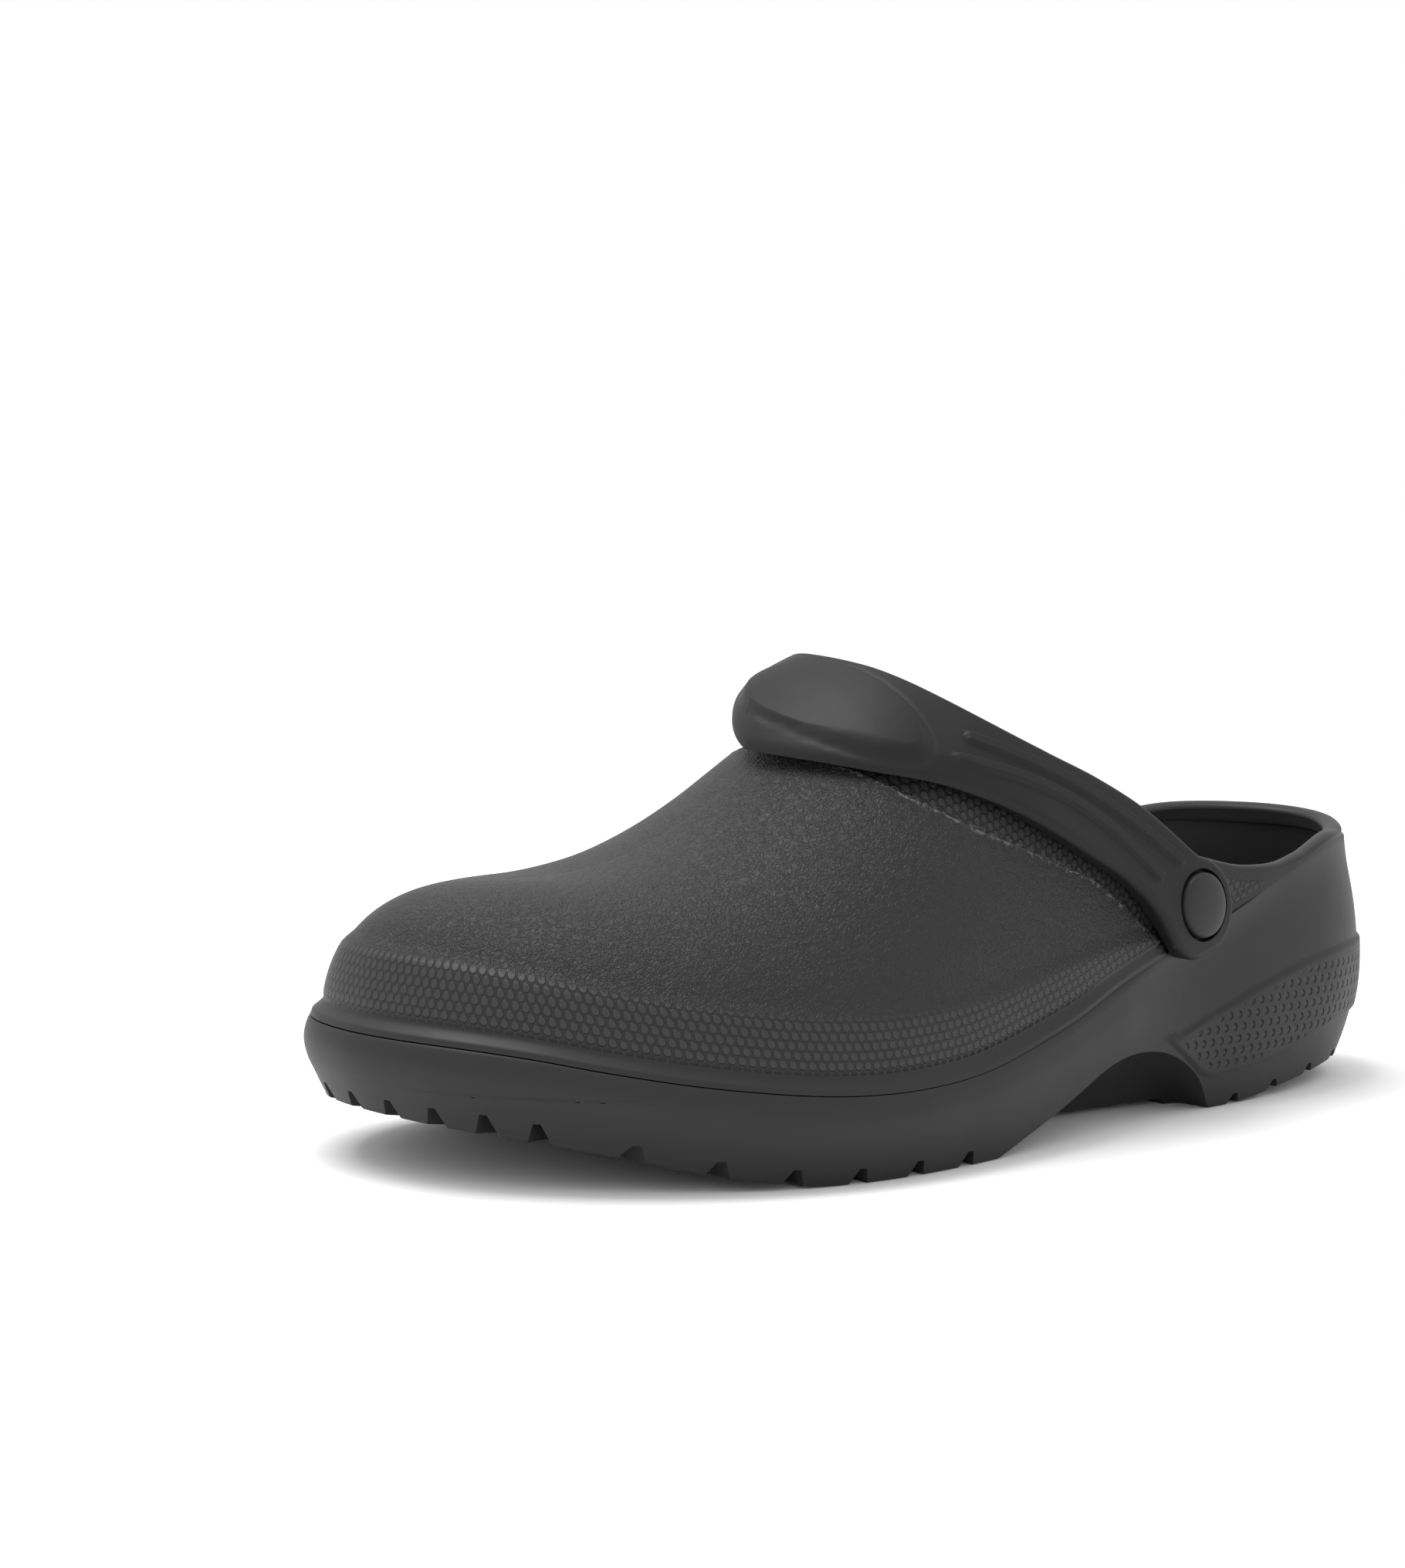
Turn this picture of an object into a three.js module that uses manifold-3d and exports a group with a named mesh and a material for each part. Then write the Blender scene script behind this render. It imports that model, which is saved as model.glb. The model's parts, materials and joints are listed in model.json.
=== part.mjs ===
// Chef clog, left shoe: a moulded foam upper on a moulded sole, with a strap on two snap rivets.
// Millimetres. +X runs from heel to toe, +Y to the outer (lateral) side, +Z up from the floor.
import * as THREE from 'three';
import { mergeVertices } from 'three/addons/utils/BufferGeometryUtils.js';
import Module from 'manifold-3d';

const wasm = await Module();
wasm.setup();

// Driving sizes
const LAST_LENGTH = 280; // plan outline of the upper at its seam, heel to toe
const BALL_WIDTH = 111; // the same outline, lateral to medial at the ball
const INSTEP_HEIGHT = 100; // top of the upper at the front of the collar
const TOE_HEIGHT = 59.2; // roof of the toe box
const RIM_HEIGHT = 65.2; // collar rim at the heel
const COLLAR_DIP = 6.4; // how far the rim sinks below that at the ankle
const COLLAR_TILT = 0.045; // the rim is lower on the lateral side, per mm of width
const SIDEWALL_HEIGHT = 19.3; // seam above the floor at the ball
const RIM_BAND = 4.2; // strip of upper left above the seam at the heel
const TOE_SPRING = 14; // lift of the tread at the toe
const HEEL_SPRING = 5; // lift of the tread at the back of the heel
const BALL_SUBSTANCE = 11; // sole under the insole at the ball
const HEEL_SUBSTANCE = 22; // sole under the insole at the heel
const FOOTBED_DISH = 1.6; // how far the footbed sinks along its middle
const FOOTBED_INSET = 6; // footbed's edge inside the plan outline
const UPPER_WALL = 4;
const INSOLE_THICKNESS = 4;
const FIT = 0.3; // clearance where two pieces meet

// Relief of the upper and the sole's side
const BAND_OVERHANG = 3.2; // the sole's side stands this far outside the upper at the seam
const BAND_SWELL = 1.1; // and swells this much more below it
const BEAD_HEIGHT = 2.4; // rounded bead along the upper's lower edge
const BEAD_FILLET = 1.35; // it ends in the wall at this share of its height
const BEAD_DEPTH = 1.4; // and this share of BAND_OVERHANG in from its face
const FOXING_HEIGHT = 17; // dotted band above the bead
const FOXING_STEP = 0.8;
const COLLAR_STEP = 1.5; // the collar band lies this far below the vamp
const PANEL_STEP = 0.8; // raised panel round the heel
const ARCH_HEIGHT = 17.5; // top of the hollow at the waist
const ARCH_CORE = 52; // width of the waist that is left between the two hollows
const WAIST_LIFT = 1.5; // clearance of that core above the floor
const WAIST_START = 80;
const WAIST_END = 148;
const WAIST_RAMP = 6; // length over which the core comes down to the tread
const GROOVE_DEPTH = 3.6; // grooves between the lugs
const GROOVE_MOUTH = 4.4;
const GROOVE_ROOT = 1.6;
const GROOVE_PITCH = 15.6;
const FORE_GROOVES = { from: 168, to: 250 };
const HEEL_GROOVES = { from: 18, to: 70 };
const SPOKES = { x: 215, y: -10, inner: 42, outer: 78, count: 9, first: -0.74, last: 0.69 };

// Strap and rivets
const STRAP_WIDTH = 20.4;
const STRAP_THICKNESS = 6; // at the rivets
const STRAP_BODY = 4.4; // over the instep, where it stands clear of the upper
const STRAP_CROWN = 3; // the strap's top rises this much more over the instep
const STRAP_SKEW = 8; // and its crown lies this far to the medial side
const STRAP_NOSE = 188; // its foremost point, from the heel
const STRAP_NOSE_RADIUS = 28; // bend of its front edge seen from above
const STRAP_MIDDLE = 6; // that point lies this far to the lateral side
const LOBE_RADIUS = 12.2;
const LIP_WIDTH = 3.2; // raised edge along the strap's front
const LIP_RISE = 0.8;
const BADGE_LENGTH = 52;
const BADGE_WIDTH = 24;
const BADGE_STATION = 0.596;
const BADGE_UP = 0.9955; // its middle, as a share of the dome's height there
const BADGE_RISE = 1.2;
const RIB_WIDTH = 2.6;
const RIB_RISE = 0.9;
const BUTTON_RADIUS = 7.6;
const BUTTON_DOME = 1.3;
const BUTTON_GROOVE = 0.9; // open ring round the button
const BUTTON_SEAT = 2.6; // depth of the button's recess in the lobe
const SHAFT_RADIUS = 3;
const CAP_RADIUS = 7;
const CAP_THICKNESS = 3;
const CAP_BORE = 1.8; // how deep the shaft enters the cap
const CAP_SPOTFACE = 0.6; // flat cut in the upper's inner wall for the cap
const RIVET_STATION = 0.3196;
const RIVET_RISE = 8.6; // rivet above the seam

// Fineness of the faceted surfaces
const OUTER_COLUMNS = 66;
const INNER_COLUMNS = 44;
const DOME_ROWS = 8;
const PROFILE_STEPS = 28;

// Plan outline: station as a share of LAST_LENGTH, both sides as shares of BALL_WIDTH
const OUTLINE = [
  { station: 0, lateral: 0, medial: 0 },
  { station: 0.02, lateral: 0.14, medial: -0.14 },
  { station: 0.05, lateral: 0.212, medial: -0.212 },
  { station: 0.1, lateral: 0.275, medial: -0.275 },
  { station: 0.2, lateral: 0.324, medial: -0.306 },
  { station: 0.3, lateral: 0.347, medial: -0.315 },
  { station: 0.4, lateral: 0.387, medial: -0.329 },
  { station: 0.5, lateral: 0.45, medial: -0.365 },
  { station: 0.6, lateral: 0.5, medial: -0.414 },
  { station: 0.67, lateral: 0.514, medial: -0.45 },
  { station: 0.74, lateral: 0.5, medial: -0.477 },
  { station: 0.8, lateral: 0.459, medial: -0.486 },
  { station: 0.86, lateral: 0.387, medial: -0.477 },
  { station: 0.91, lateral: 0.302, medial: -0.446 },
  { station: 0.95, lateral: 0.207, medial: -0.383 },
  { station: 0.98, lateral: 0.099, medial: -0.297 },
  { station: 0.995, lateral: -0.009, medial: -0.216 },
  { station: 1, lateral: -0.108, medial: -0.108 },
];

// Side view of the upper. crest: share of the rise from TOE_HEIGHT to INSTEP_HEIGHT.
// middle: where the crest runs, as a share of BALL_WIDTH. boxy: exponent of the cross-section.
const CREST = [
  { station: 0, crest: 0.951, middle: 0, boxy: 2.05 },
  { station: 0.214, crest: 1.049, middle: 0, boxy: 2.05 },
  { station: 0.357, crest: 1.123, middle: 0, boxy: 2.05 },
  { station: 0.464, crest: 1.147, middle: 0.003, boxy: 2.05 },
  { station: 0.5, crest: 1.11, middle: 0.007, boxy: 2.05 },
  { station: 0.536, crest: 1.049, middle: 0.009, boxy: 2.05 },
  { station: 0.571, crest: 0.98, middle: 0.009, boxy: 2.05 },
  { station: 0.607, crest: 0.853, middle: 0.006, boxy: 2.05 },
  { station: 0.643, crest: 0.676, middle: 0, boxy: 2.05 },
  { station: 0.679, crest: 0.485, middle: -0.007, boxy: 2.1 },
  { station: 0.725, crest: 0.277, middle: -0.02, boxy: 2.15 },
  { station: 0.771, crest: 0.118, middle: -0.034, boxy: 2.2 },
  { station: 0.821, crest: 0.02, middle: -0.051, boxy: 2.3 },
  { station: 0.857, crest: 0, middle: -0.063, boxy: 2.35 },
  { station: 0.893, crest: 0, middle: -0.073, boxy: 2.4 },
  { station: 0.936, crest: 0.005, middle: -0.084, boxy: 2.4 },
  { station: 1, crest: 0.005, middle: -0.092, boxy: 2.4 },
];

// Seam between upper and sole. heel: share of the rise from SIDEWALL_HEIGHT to the heel's strip.
// toe: share of TOE_SPRING. foxing: share of FOXING_HEIGHT.
// flare: how far the upper's wall joins the sole's overhang, as a share of BAND_OVERHANG.
// recess: share of COLLAR_STEP.
const SEAM = [
  { station: 0, heel: 1, toe: 0, foxing: 0.2, flare: -1.2, recess: 0 },
  { station: 0.03, heel: 1, toe: 0, foxing: 0.2, flare: -0.9, recess: 0 },
  { station: 0.06, heel: 1, toe: 0, foxing: 0.2, flare: -0.4, recess: 0 },
  { station: 0.1, heel: 1, toe: 0, foxing: 0.2, flare: 0.1, recess: 0 },
  { station: 0.145, heel: 0.925, toe: 0, foxing: 0.22, flare: 0.42, recess: 0.1 },
  { station: 0.202, heel: 0.8, toe: 0, foxing: 0.25, flare: 0.62, recess: 0.35 },
  { station: 0.25, heel: 0.675, toe: 0, foxing: 0.28, flare: 0.8, recess: 0.8 },
  { station: 0.332, heel: 0.513, toe: 0, foxing: 0.36, flare: 0.94, recess: 1 },
  { station: 0.404, heel: 0.372, toe: 0, foxing: 0.58, flare: 0.72, recess: 1 },
  { station: 0.471, heel: 0.226, toe: 0, foxing: 0.8, flare: 0.36, recess: 1 },
  { station: 0.532, heel: 0.122, toe: 0, foxing: 0.88, flare: 0.1, recess: 1 },
  { station: 0.6, heel: 0.031, toe: 0, foxing: 0.95, flare: 0, recess: 1 },
  { station: 0.66, heel: 0, toe: 0, foxing: 0.98, flare: 0, recess: 1 },
  { station: 0.732, heel: 0, toe: 0.021, foxing: 0.98, flare: 0, recess: 1 },
  { station: 0.793, heel: 0, toe: 0.143, foxing: 0.98, flare: 0, recess: 1 },
  { station: 0.846, heel: 0, toe: 0.293, foxing: 0.98, flare: 0, recess: 1 },
  { station: 0.896, heel: 0, toe: 0.479, foxing: 1, flare: 0, recess: 1 },
  { station: 0.939, heel: 0, toe: 0.657, foxing: 1.02, flare: 0, recess: 1 },
  { station: 0.975, heel: 0, toe: 0.757, foxing: 1.04, flare: 0, recess: 1 },
  { station: 1.01, heel: 0, toe: 0.79, foxing: 1.04, flare: 0, recess: 1 },
];

// Collar line. dip: share of COLLAR_DIP. rise: share of the way from RIM_HEIGHT to INSTEP_HEIGHT.
const COLLAR = [
  { station: -0.05, dip: 0, rise: 0 },
  { station: 0.036, dip: 0.05, rise: 0 },
  { station: 0.1, dip: 0.34, rise: 0 },
  { station: 0.15, dip: 0.73, rise: 0 },
  { station: 0.186, dip: 1, rise: 0 },
  { station: 0.214, dip: 1, rise: 0 },
  { station: 0.246, dip: 1, rise: 0.026 },
  { station: 0.275, dip: 1, rise: 0.083 },
  { station: 0.304, dip: 1, rise: 0.15 },
  { station: 0.339, dip: 1, rise: 0.345 },
  { station: 0.379, dip: 1, rise: 0.583 },
  { station: 0.421, dip: 1, rise: 0.75 },
  { station: 0.464, dip: 1, rise: 0.931 },
  { station: 0.507, dip: 1, rise: 1.04 },
  { station: 0.543, dip: 1, rise: 1.098 },
  { station: 0.575, dip: 1, rise: 1.126 },
  { station: 0.65, dip: 1, rise: 1.3 },
];

// Tread and footbed. toe and heel: shares of TOE_SPRING and HEEL_SPRING.
// bed: share of the step from BALL_SUBSTANCE to HEEL_SUBSTANCE. bedToe: share of TOE_SPRING.
const TREAD = [
  { station: 0, toe: 0, heel: 1.04, bed: 1.15, bedToe: 0 },
  { station: 0.09, toe: 0, heel: 0.92, bed: 1.05, bedToe: 0 },
  { station: 0.125, toe: 0, heel: 0.72, bed: 1.02, bedToe: 0 },
  { station: 0.164, toe: 0, heel: 0.44, bed: 0.99, bedToe: 0 },
  { station: 0.21, toe: 0, heel: 0.12, bed: 0.96, bedToe: 0 },
  { station: 0.245, toe: 0, heel: 0, bed: 0.93, bedToe: 0 },
  { station: 0.36, toe: 0, heel: 0, bed: 0.78, bedToe: 0 },
  { station: 0.48, toe: 0, heel: 0, bed: 0.42, bedToe: 0 },
  { station: 0.6, toe: 0, heel: 0, bed: 0.1, bedToe: 0 },
  { station: 0.71, toe: 0, heel: 0, bed: 0, bedToe: 0 },
  { station: 0.746, toe: 0.029, heel: 0, bed: 0, bedToe: 0.04 },
  { station: 0.793, toe: 0.143, heel: 0, bed: 0, bedToe: 0.14 },
  { station: 0.836, toe: 0.307, heel: 0, bed: 0, bedToe: 0.3 },
  { station: 0.871, toe: 0.479, heel: 0, bed: 0, bedToe: 0.43 },
  { station: 0.918, toe: 0.686, heel: 0, bed: 0, bedToe: 0.58 },
  { station: 0.95, toe: 0.8, heel: 0, bed: 0, bedToe: 0.67 },
  { station: 0.975, toe: 0.886, heel: 0, bed: 0, bedToe: 0.72 },
  { station: 1.01, toe: 1, heel: 0, bed: 0, bedToe: 0.78 },
];

// Side of the sole from the tread up past the seam, where it is trimmed.
// overhang: share of BAND_OVERHANG, swell: of BAND_SWELL, flush: how far it meets the upper's wall
const SIDEWALL = [
  { up: 0, overhang: -0.25, swell: 0, heelOverhang: -0.5, heelSwell: 0, flush: 0 },
  { up: 0.1, overhang: 0.05, swell: 0, heelOverhang: 0.1, heelSwell: 0, flush: 0 },
  { up: 0.3, overhang: 0.5, swell: 0.2, heelOverhang: 0.75, heelSwell: 0.3, flush: 0 },
  { up: 0.52, overhang: 0.88, swell: 0.7, heelOverhang: 0.65, heelSwell: 0.7, flush: 0 },
  { up: 0.76, overhang: 1, swell: 1, heelOverhang: 0.3, heelSwell: 0.3, flush: 0.1 },
  { up: 0.93, overhang: 1, swell: 0.5, heelOverhang: 0, heelSwell: 0, flush: 0.8 },
  { up: 1.08, overhang: 1, swell: 0, heelOverhang: 0, heelSwell: 0, flush: 1 },
];

// Hollow at the waist: share of ARCH_HEIGHT along the side
const ARCH = [
  { station: 0.26, high: -0.02 },
  { station: 0.27, high: 0.12 },
  { station: 0.286, high: 0.41 },
  { station: 0.311, high: 0.71 },
  { station: 0.339, high: 0.92 },
  { station: 0.368, high: 1 },
  { station: 0.396, high: 1 },
  { station: 0.429, high: 0.89 },
  { station: 0.464, high: 0.66 },
  { station: 0.5, high: 0.41 },
  { station: 0.536, high: 0.18 },
  { station: 0.564, high: -0.02 },
];

// Rear ridge of the vamp, behind which the collar band is recessed.
// rise: share of the way from SIDEWALL_HEIGHT to INSTEP_HEIGHT
const RIDGE = [
  { station: 0.33, rise: 0.16 },
  { station: 0.349, rise: 0.266 },
  { station: 0.379, rise: 0.352 },
  { station: 0.431, rise: 0.481 },
  { station: 0.478, rise: 0.546 },
  { station: 0.52, rise: 0.602 },
  { station: 0.578, rise: 0.685 },
  { station: 0.62, rise: 0.775 },
  { station: 0.65, rise: 0.88 },
  { station: 0.67, rise: 1 },
];

// Strap seen from the side. along: share of the run from rivet to crest.
// front and rear: distance from that line as shares of STRAP_WIDTH
const STRAP_FRONT = [
  { along: 0.03, front: -0.6 },
  { along: 0.055, front: -0.54 },
  { along: 0.123, front: -0.383 },
  { along: 0.182, front: -0.302 },
  { along: 0.29, front: -0.24 },
  { along: 0.39, front: -0.252 },
  { along: 0.534, front: -0.263 },
  { along: 0.691, front: -0.291 },
  { along: 0.821, front: -0.395 },
  { along: 0.926, front: -0.541 },
  { along: 0.999, front: -0.64 },
  { along: 1.06, front: -0.72 },
];
const STRAP_REAR = [
  { along: -0.02, rear: 0.54 },
  { along: 0.067, rear: 0.55 },
  { along: 0.15, rear: 0.6 },
  { along: 0.238, rear: 0.65 },
  { along: 0.41, rear: 0.64 },
  { along: 0.558, rear: 0.57 },
  { along: 0.681, rear: 0.54 },
  { along: 0.79, rear: 0.56 },
  { along: 0.9, rear: 0.62 },
];
const STRAP_CREST_STATION = 0.6214;

// Raised ribs on each side of the strap, by the same measures; bow: how far the middle bends back
const RIBS = [
  { from: 0.12, to: 0.77, rear: 0.32, bow: 0.09 },
  { from: 0.17, to: 0.81, rear: 0, bow: 0.19 },
];

// Heel panel seen from the side, as shares of LAST_LENGTH and RIM_HEIGHT
const PANEL = [
  { station: -0.1, low: 0.27, high: 0.555 },
  { station: 0.04, low: 0.262, high: 0.553 },
  { station: 0.094, low: 0.245, high: 0.546 },
  { station: 0.149, low: 0.19, high: 0.519 },
  { station: 0.205, low: 0.149, high: 0.466 },
  { station: 0.256, low: 0.13, high: 0.403 },
  { station: 0.278, low: 0.125, high: 0.375 },
  { station: 0.289, low: 0.14, high: 0.362 },
  { station: 0.322, low: 0.233, high: 0.32 },
  { station: 0.346, low: 0.301, high: 0.305 },
];

// Smooth curve through one column of a table: cubic pieces with three-point slopes
function curve(table, column, key = 'station', place = (at) => at) {
  const xs = table.map((row) => place(row[key]));
  const ys = table.map((row) => row[column]);
  const last = xs.length - 1;
  const step = xs.slice(1).map((x, i) => x - xs[i]);
  const rate = step.map((h, i) => (ys[i + 1] - ys[i]) / h);
  const slope = ys.map((_, i) => {
    if (i === 0) return rate[0];
    if (i === last) return rate[last - 1];
    return (rate[i - 1] * step[i] + rate[i] * step[i - 1]) / (step[i - 1] + step[i]);
  });
  return (at) => {
    const x = Math.min(Math.max(at, xs[0]), xs[last]);
    let i = 0;
    while (i < last - 1 && x > xs[i + 1]) i += 1;
    const t = (x - xs[i]) / step[i];
    const smooth = t * t * (3 - 2 * t);
    const ease = t * (1 - t) * step[i];
    return ys[i] + (ys[i + 1] - ys[i]) * smooth + ease * ((1 - t) * slope[i] - t * slope[i + 1]);
  };
}

const mix = (a, b, t) => a + (b - a) * t;
const share = (x) => x / LAST_LENGTH;

// The outline is read against this angle, so that it closes round at heel and toe
const turn = (station) => Math.acos(1 - 2 * station) / Math.PI;
const lateralShare = curve(OUTLINE, 'lateral', 'station', turn);
const medialShare = curve(OUTLINE, 'medial', 'station', turn);

const crestShare = curve(CREST, 'crest');
const middleShare = curve(CREST, 'middle');
const boxyAt = curve(CREST, 'boxy');
const seamHeel = curve(SEAM, 'heel');
const seamToe = curve(SEAM, 'toe');
const foxingShare = curve(SEAM, 'foxing');
const flareShare = curve(SEAM, 'flare');
const recessShare = curve(SEAM, 'recess');
const collarDip = curve(COLLAR, 'dip');
const collarRise = curve(COLLAR, 'rise');
const treadToe = curve(TREAD, 'toe');
const treadHeel = curve(TREAD, 'heel');
const bedShare = curve(TREAD, 'bed');
const bedToe = curve(TREAD, 'bedToe');
const archShare = curve(ARCH, 'high');
const ridgeShare = curve(RIDGE, 'rise');

// Heights at a distance x from the heel
const crestZ = (x) => mix(TOE_HEIGHT, INSTEP_HEIGHT, crestShare(share(x)));
const seamZ = (x) => SIDEWALL_HEIGHT + TOE_SPRING * seamToe(share(x))
  + (RIM_HEIGHT - RIM_BAND - SIDEWALL_HEIGHT) * seamHeel(share(x));
const foxingZ = (x) => seamZ(x) + FOXING_HEIGHT * foxingShare(share(x));
const collarZ = (x) => RIM_HEIGHT - COLLAR_DIP * collarDip(share(x))
  + (INSTEP_HEIGHT - RIM_HEIGHT) * collarRise(share(x));
const treadZ = (x) => TOE_SPRING * Math.max(0, treadToe(share(x)))
  + HEEL_SPRING * Math.max(0, treadHeel(share(x)));
const footbedZ = (x) => mix(BALL_SUBSTANCE, HEEL_SUBSTANCE, bedShare(share(x)))
  + TOE_SPRING * bedToe(share(x));
const ridgeZ = (x) => mix(SIDEWALL_HEIGHT, INSTEP_HEIGHT, ridgeShare(share(x)));
const flareAt = (x) => BAND_OVERHANG * flareShare(share(x));
const recessAt = (x) => COLLAR_STEP * recessShare(share(x));

// The sections fan out round the toe and the heel, so the crest line is shorter than the outline
const TOE_FAN = 33;
const TOE_FAN_START = 190;
const HEEL_FAN = 35;
const HEEL_FAN_END = 90;
function crestX(x) {
  const toe = Math.max(0, (x - TOE_FAN_START) / (LAST_LENGTH - TOE_FAN_START));
  const heel = Math.max(0, (HEEL_FAN_END - x) / HEEL_FAN_END);
  return x - TOE_FAN * toe ** 2 + HEEL_FAN * heel ** 2;
}
const middleY = (x) => BALL_WIDTH * middleShare(share(x));

// Columns run round the outline: heel, lateral side, toe, medial side
function planColumns(count) {
  const half = count / 2;
  const columns = Array.from({ length: count }, (_, i) => {
    const q = i <= half ? i / half : (count - i) / half;
    const side = i <= half ? lateralShare(q) : medialShare(q);
    return { x: LAST_LENGTH * (1 - Math.cos(Math.PI * q)) / 2, y: BALL_WIDTH * side };
  });
  columns.forEach((column, i) => {
    const before = columns[(i + count - 1) % count];
    const after = columns[(i + 1) % count];
    const length = Math.hypot(after.x - before.x, after.y - before.y);
    column.nx = -(after.y - before.y) / length;
    column.ny = (after.x - before.x) / length;
  });
  return columns;
}
const outerPlan = planColumns(OUTER_COLUMNS);
const innerPlan = planColumns(INNER_COLUMNS);

// One ring of points: the outline moved out by offset, at a height, both given by x
const ring = (plan, offset, height) => plan.map(({ x, y, nx, ny }) => {
  const out = offset(x);
  return new THREE.Vector3(x + nx * out, y + ny * out, height(x));
});

// A ring drawn together onto the middle line, which closes a solid above or below
const middle = (plan, height, skew = 0) => plan.map(({ x }) => {
  const at = crestX(x);
  return new THREE.Vector3(at, middleY(at) - skew, height(at, x));
});

// Closed surface through rings of equal count; triangles that shrink to a line are left out
function skin(rings) {
  const corners = [];
  const triangle = (a, b, c) => {
    if (a.distanceTo(b) > 1e-5 && b.distanceTo(c) > 1e-5 && c.distanceTo(a) > 1e-5) {
      corners.push(a, b, c);
    }
  };
  rings.slice(1).forEach((upper, r) => {
    const lower = rings[r];
    lower.forEach((_, i) => {
      const j = (i + 1) % lower.length;
      triangle(lower[i], upper[i], lower[j]);
      triangle(lower[j], upper[i], upper[j]);
    });
  });
  return new THREE.BufferGeometry().setFromPoints(corners);
}

// Solids for cutting and joining
function solid(geometry) {
  const bare = geometry.clone();
  bare.deleteAttribute('normal');
  bare.deleteAttribute('uv');
  const merged = mergeVertices(bare, 1e-4);
  const vertProperties = new Float32Array(merged.attributes.position.array);
  const triVerts = new Uint32Array(merged.index.array);
  return new wasm.Manifold(new wasm.Mesh({ numProp: 3, vertProperties, triVerts }));
}
function geometryOf(body) {
  const mesh = body.getMesh();
  const geometry = new THREE.BufferGeometry();
  geometry.setAttribute('position', new THREE.Float32BufferAttribute(mesh.vertProperties, 3));
  geometry.setIndex(Array.from(mesh.triVerts));
  return geometry;
}
const join = (...bodies) => bodies.reduce((a, b) => a.add(b));

// Prism across the shoe with a given side view, sheared by tilt so that +Y lies lower
const REACH = 90; // half of its width, clear of every form
function sidePrism(points, tilt = 0, from = -REACH, to = REACH) {
  const shape = new THREE.Shape(points.map(([x, z]) => new THREE.Vector2(x, z)));
  const prism = new THREE.ExtrudeGeometry(shape, { depth: to - from, bevelEnabled: false });
  prism.rotateX(Math.PI / 2).translate(0, to, 0);
  const shear = new THREE.Matrix4().set(1, 0, 0, 0, 0, 1, 0, 0, 0, -tilt, 1, 0, 0, 0, 0, 1);
  return solid(prism.applyMatrix4(shear));
}
const END_ROOM = 30; // how far such a prism runs past heel and toe
const CLEAR_BELOW = -40;
const CLEAR_ABOVE = 200;
function lineAcross(height, from = -END_ROOM, to = LAST_LENGTH + END_ROOM) {
  return Array.from({ length: PROFILE_STEPS + 1 }, (_, i) => {
    const x = mix(from, to, i / PROFILE_STEPS);
    return [x, height(x)];
  });
}
function regionFrom(line, edge, tilt = 0) {
  const [first, last] = [line[0][0], line[line.length - 1][0]];
  return sidePrism([...line, [last, edge], [first, edge]], tilt);
}
const below = (height) => regionFrom(lineAcross(height), CLEAR_BELOW);
const above = (height, tilt = 0) => regionFrom(lineAcross(height), CLEAR_ABOVE, tilt);

// Slope of the crest, so that an offset keeps its thickness where the crest climbs
const crestOffset = (x, offset) => offset * Math.hypot(1, (crestZ(x + 1) - crestZ(x - 1)) / 2);

// Dome of the upper: each column rises from the seam and bends over to the crest
const BASE_DROP = 3; // the dome starts this far below the seam
const domeBase = (x) => seamZ(x) - BASE_DROP;
function domeRings(plan, offset, { recess = 0, crown = 0, skew = 0 } = {}) {
  const out = (x) => offset - recess * recessAt(x);
  const base = ring(plan, (x) => flareAt(x) + out(x), domeBase);
  const top = middle(plan, (at) => crestZ(at) + crestOffset(at, out(at)) + crown, skew);
  const rings = [base];
  for (let row = 1; row < DOME_ROWS; row += 1) {
    const angle = (Math.PI / 2) * (row / DOME_ROWS);
    rings.push(base.map((foot, i) => {
      const power = 2 / boxyAt(share(plan[i].x));
      const inward = 1 - Math.cos(angle) ** power;
      const upward = Math.sin(angle) ** power;
      const point = foot.clone().lerp(top[i], inward);
      point.z = mix(foot.z, top[i].z, upward);
      return point;
    }));
  }
  rings.push(top);
  return rings;
}
const domeFloor = (plan) => middle(plan, (at, x) => domeBase(x));
const dome = (offset, bend) => {
  return solid(skin([domeFloor(outerPlan), ...domeRings(outerPlan, offset, bend)]));
};

// Point and outward direction on the dome at a station and height, side 1 lateral or -1 medial
function onDome(station, z, side, offset) {
  const at = (q, height) => {
    const x = LAST_LENGTH * (1 - Math.cos(Math.PI * q)) / 2;
    const y = BALL_WIDTH * (side > 0 ? lateralShare(q) : medialShare(q));
    const top = new THREE.Vector3(crestX(x), middleY(crestX(x)), crestZ(crestX(x)));
    const upward = (height - domeBase(x)) / (top.z - domeBase(x));
    const power = boxyAt(share(x));
    const inward = 1 - (1 - upward ** power) ** (1 / power);
    return new THREE.Vector3(x, y + side * flareAt(x), height).lerp(top.setZ(height), inward);
  };
  const q = turn(station);
  const small = 0.001;
  const point = at(q, z);
  const alongSide = at(q + small, z).sub(at(q - small, z));
  const upSide = at(q, z + 0.1).sub(at(q, z - 0.1));
  const normal = alongSide.cross(upSide).multiplyScalar(-side).normalize();
  return { point: point.addScaledVector(normal, offset), normal };
}

// How far a place belongs to the heel, where upper and sole are flush
const heelness = (x) => THREE.MathUtils.smoothstep(-share(x), -0.42, -0.3);

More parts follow.
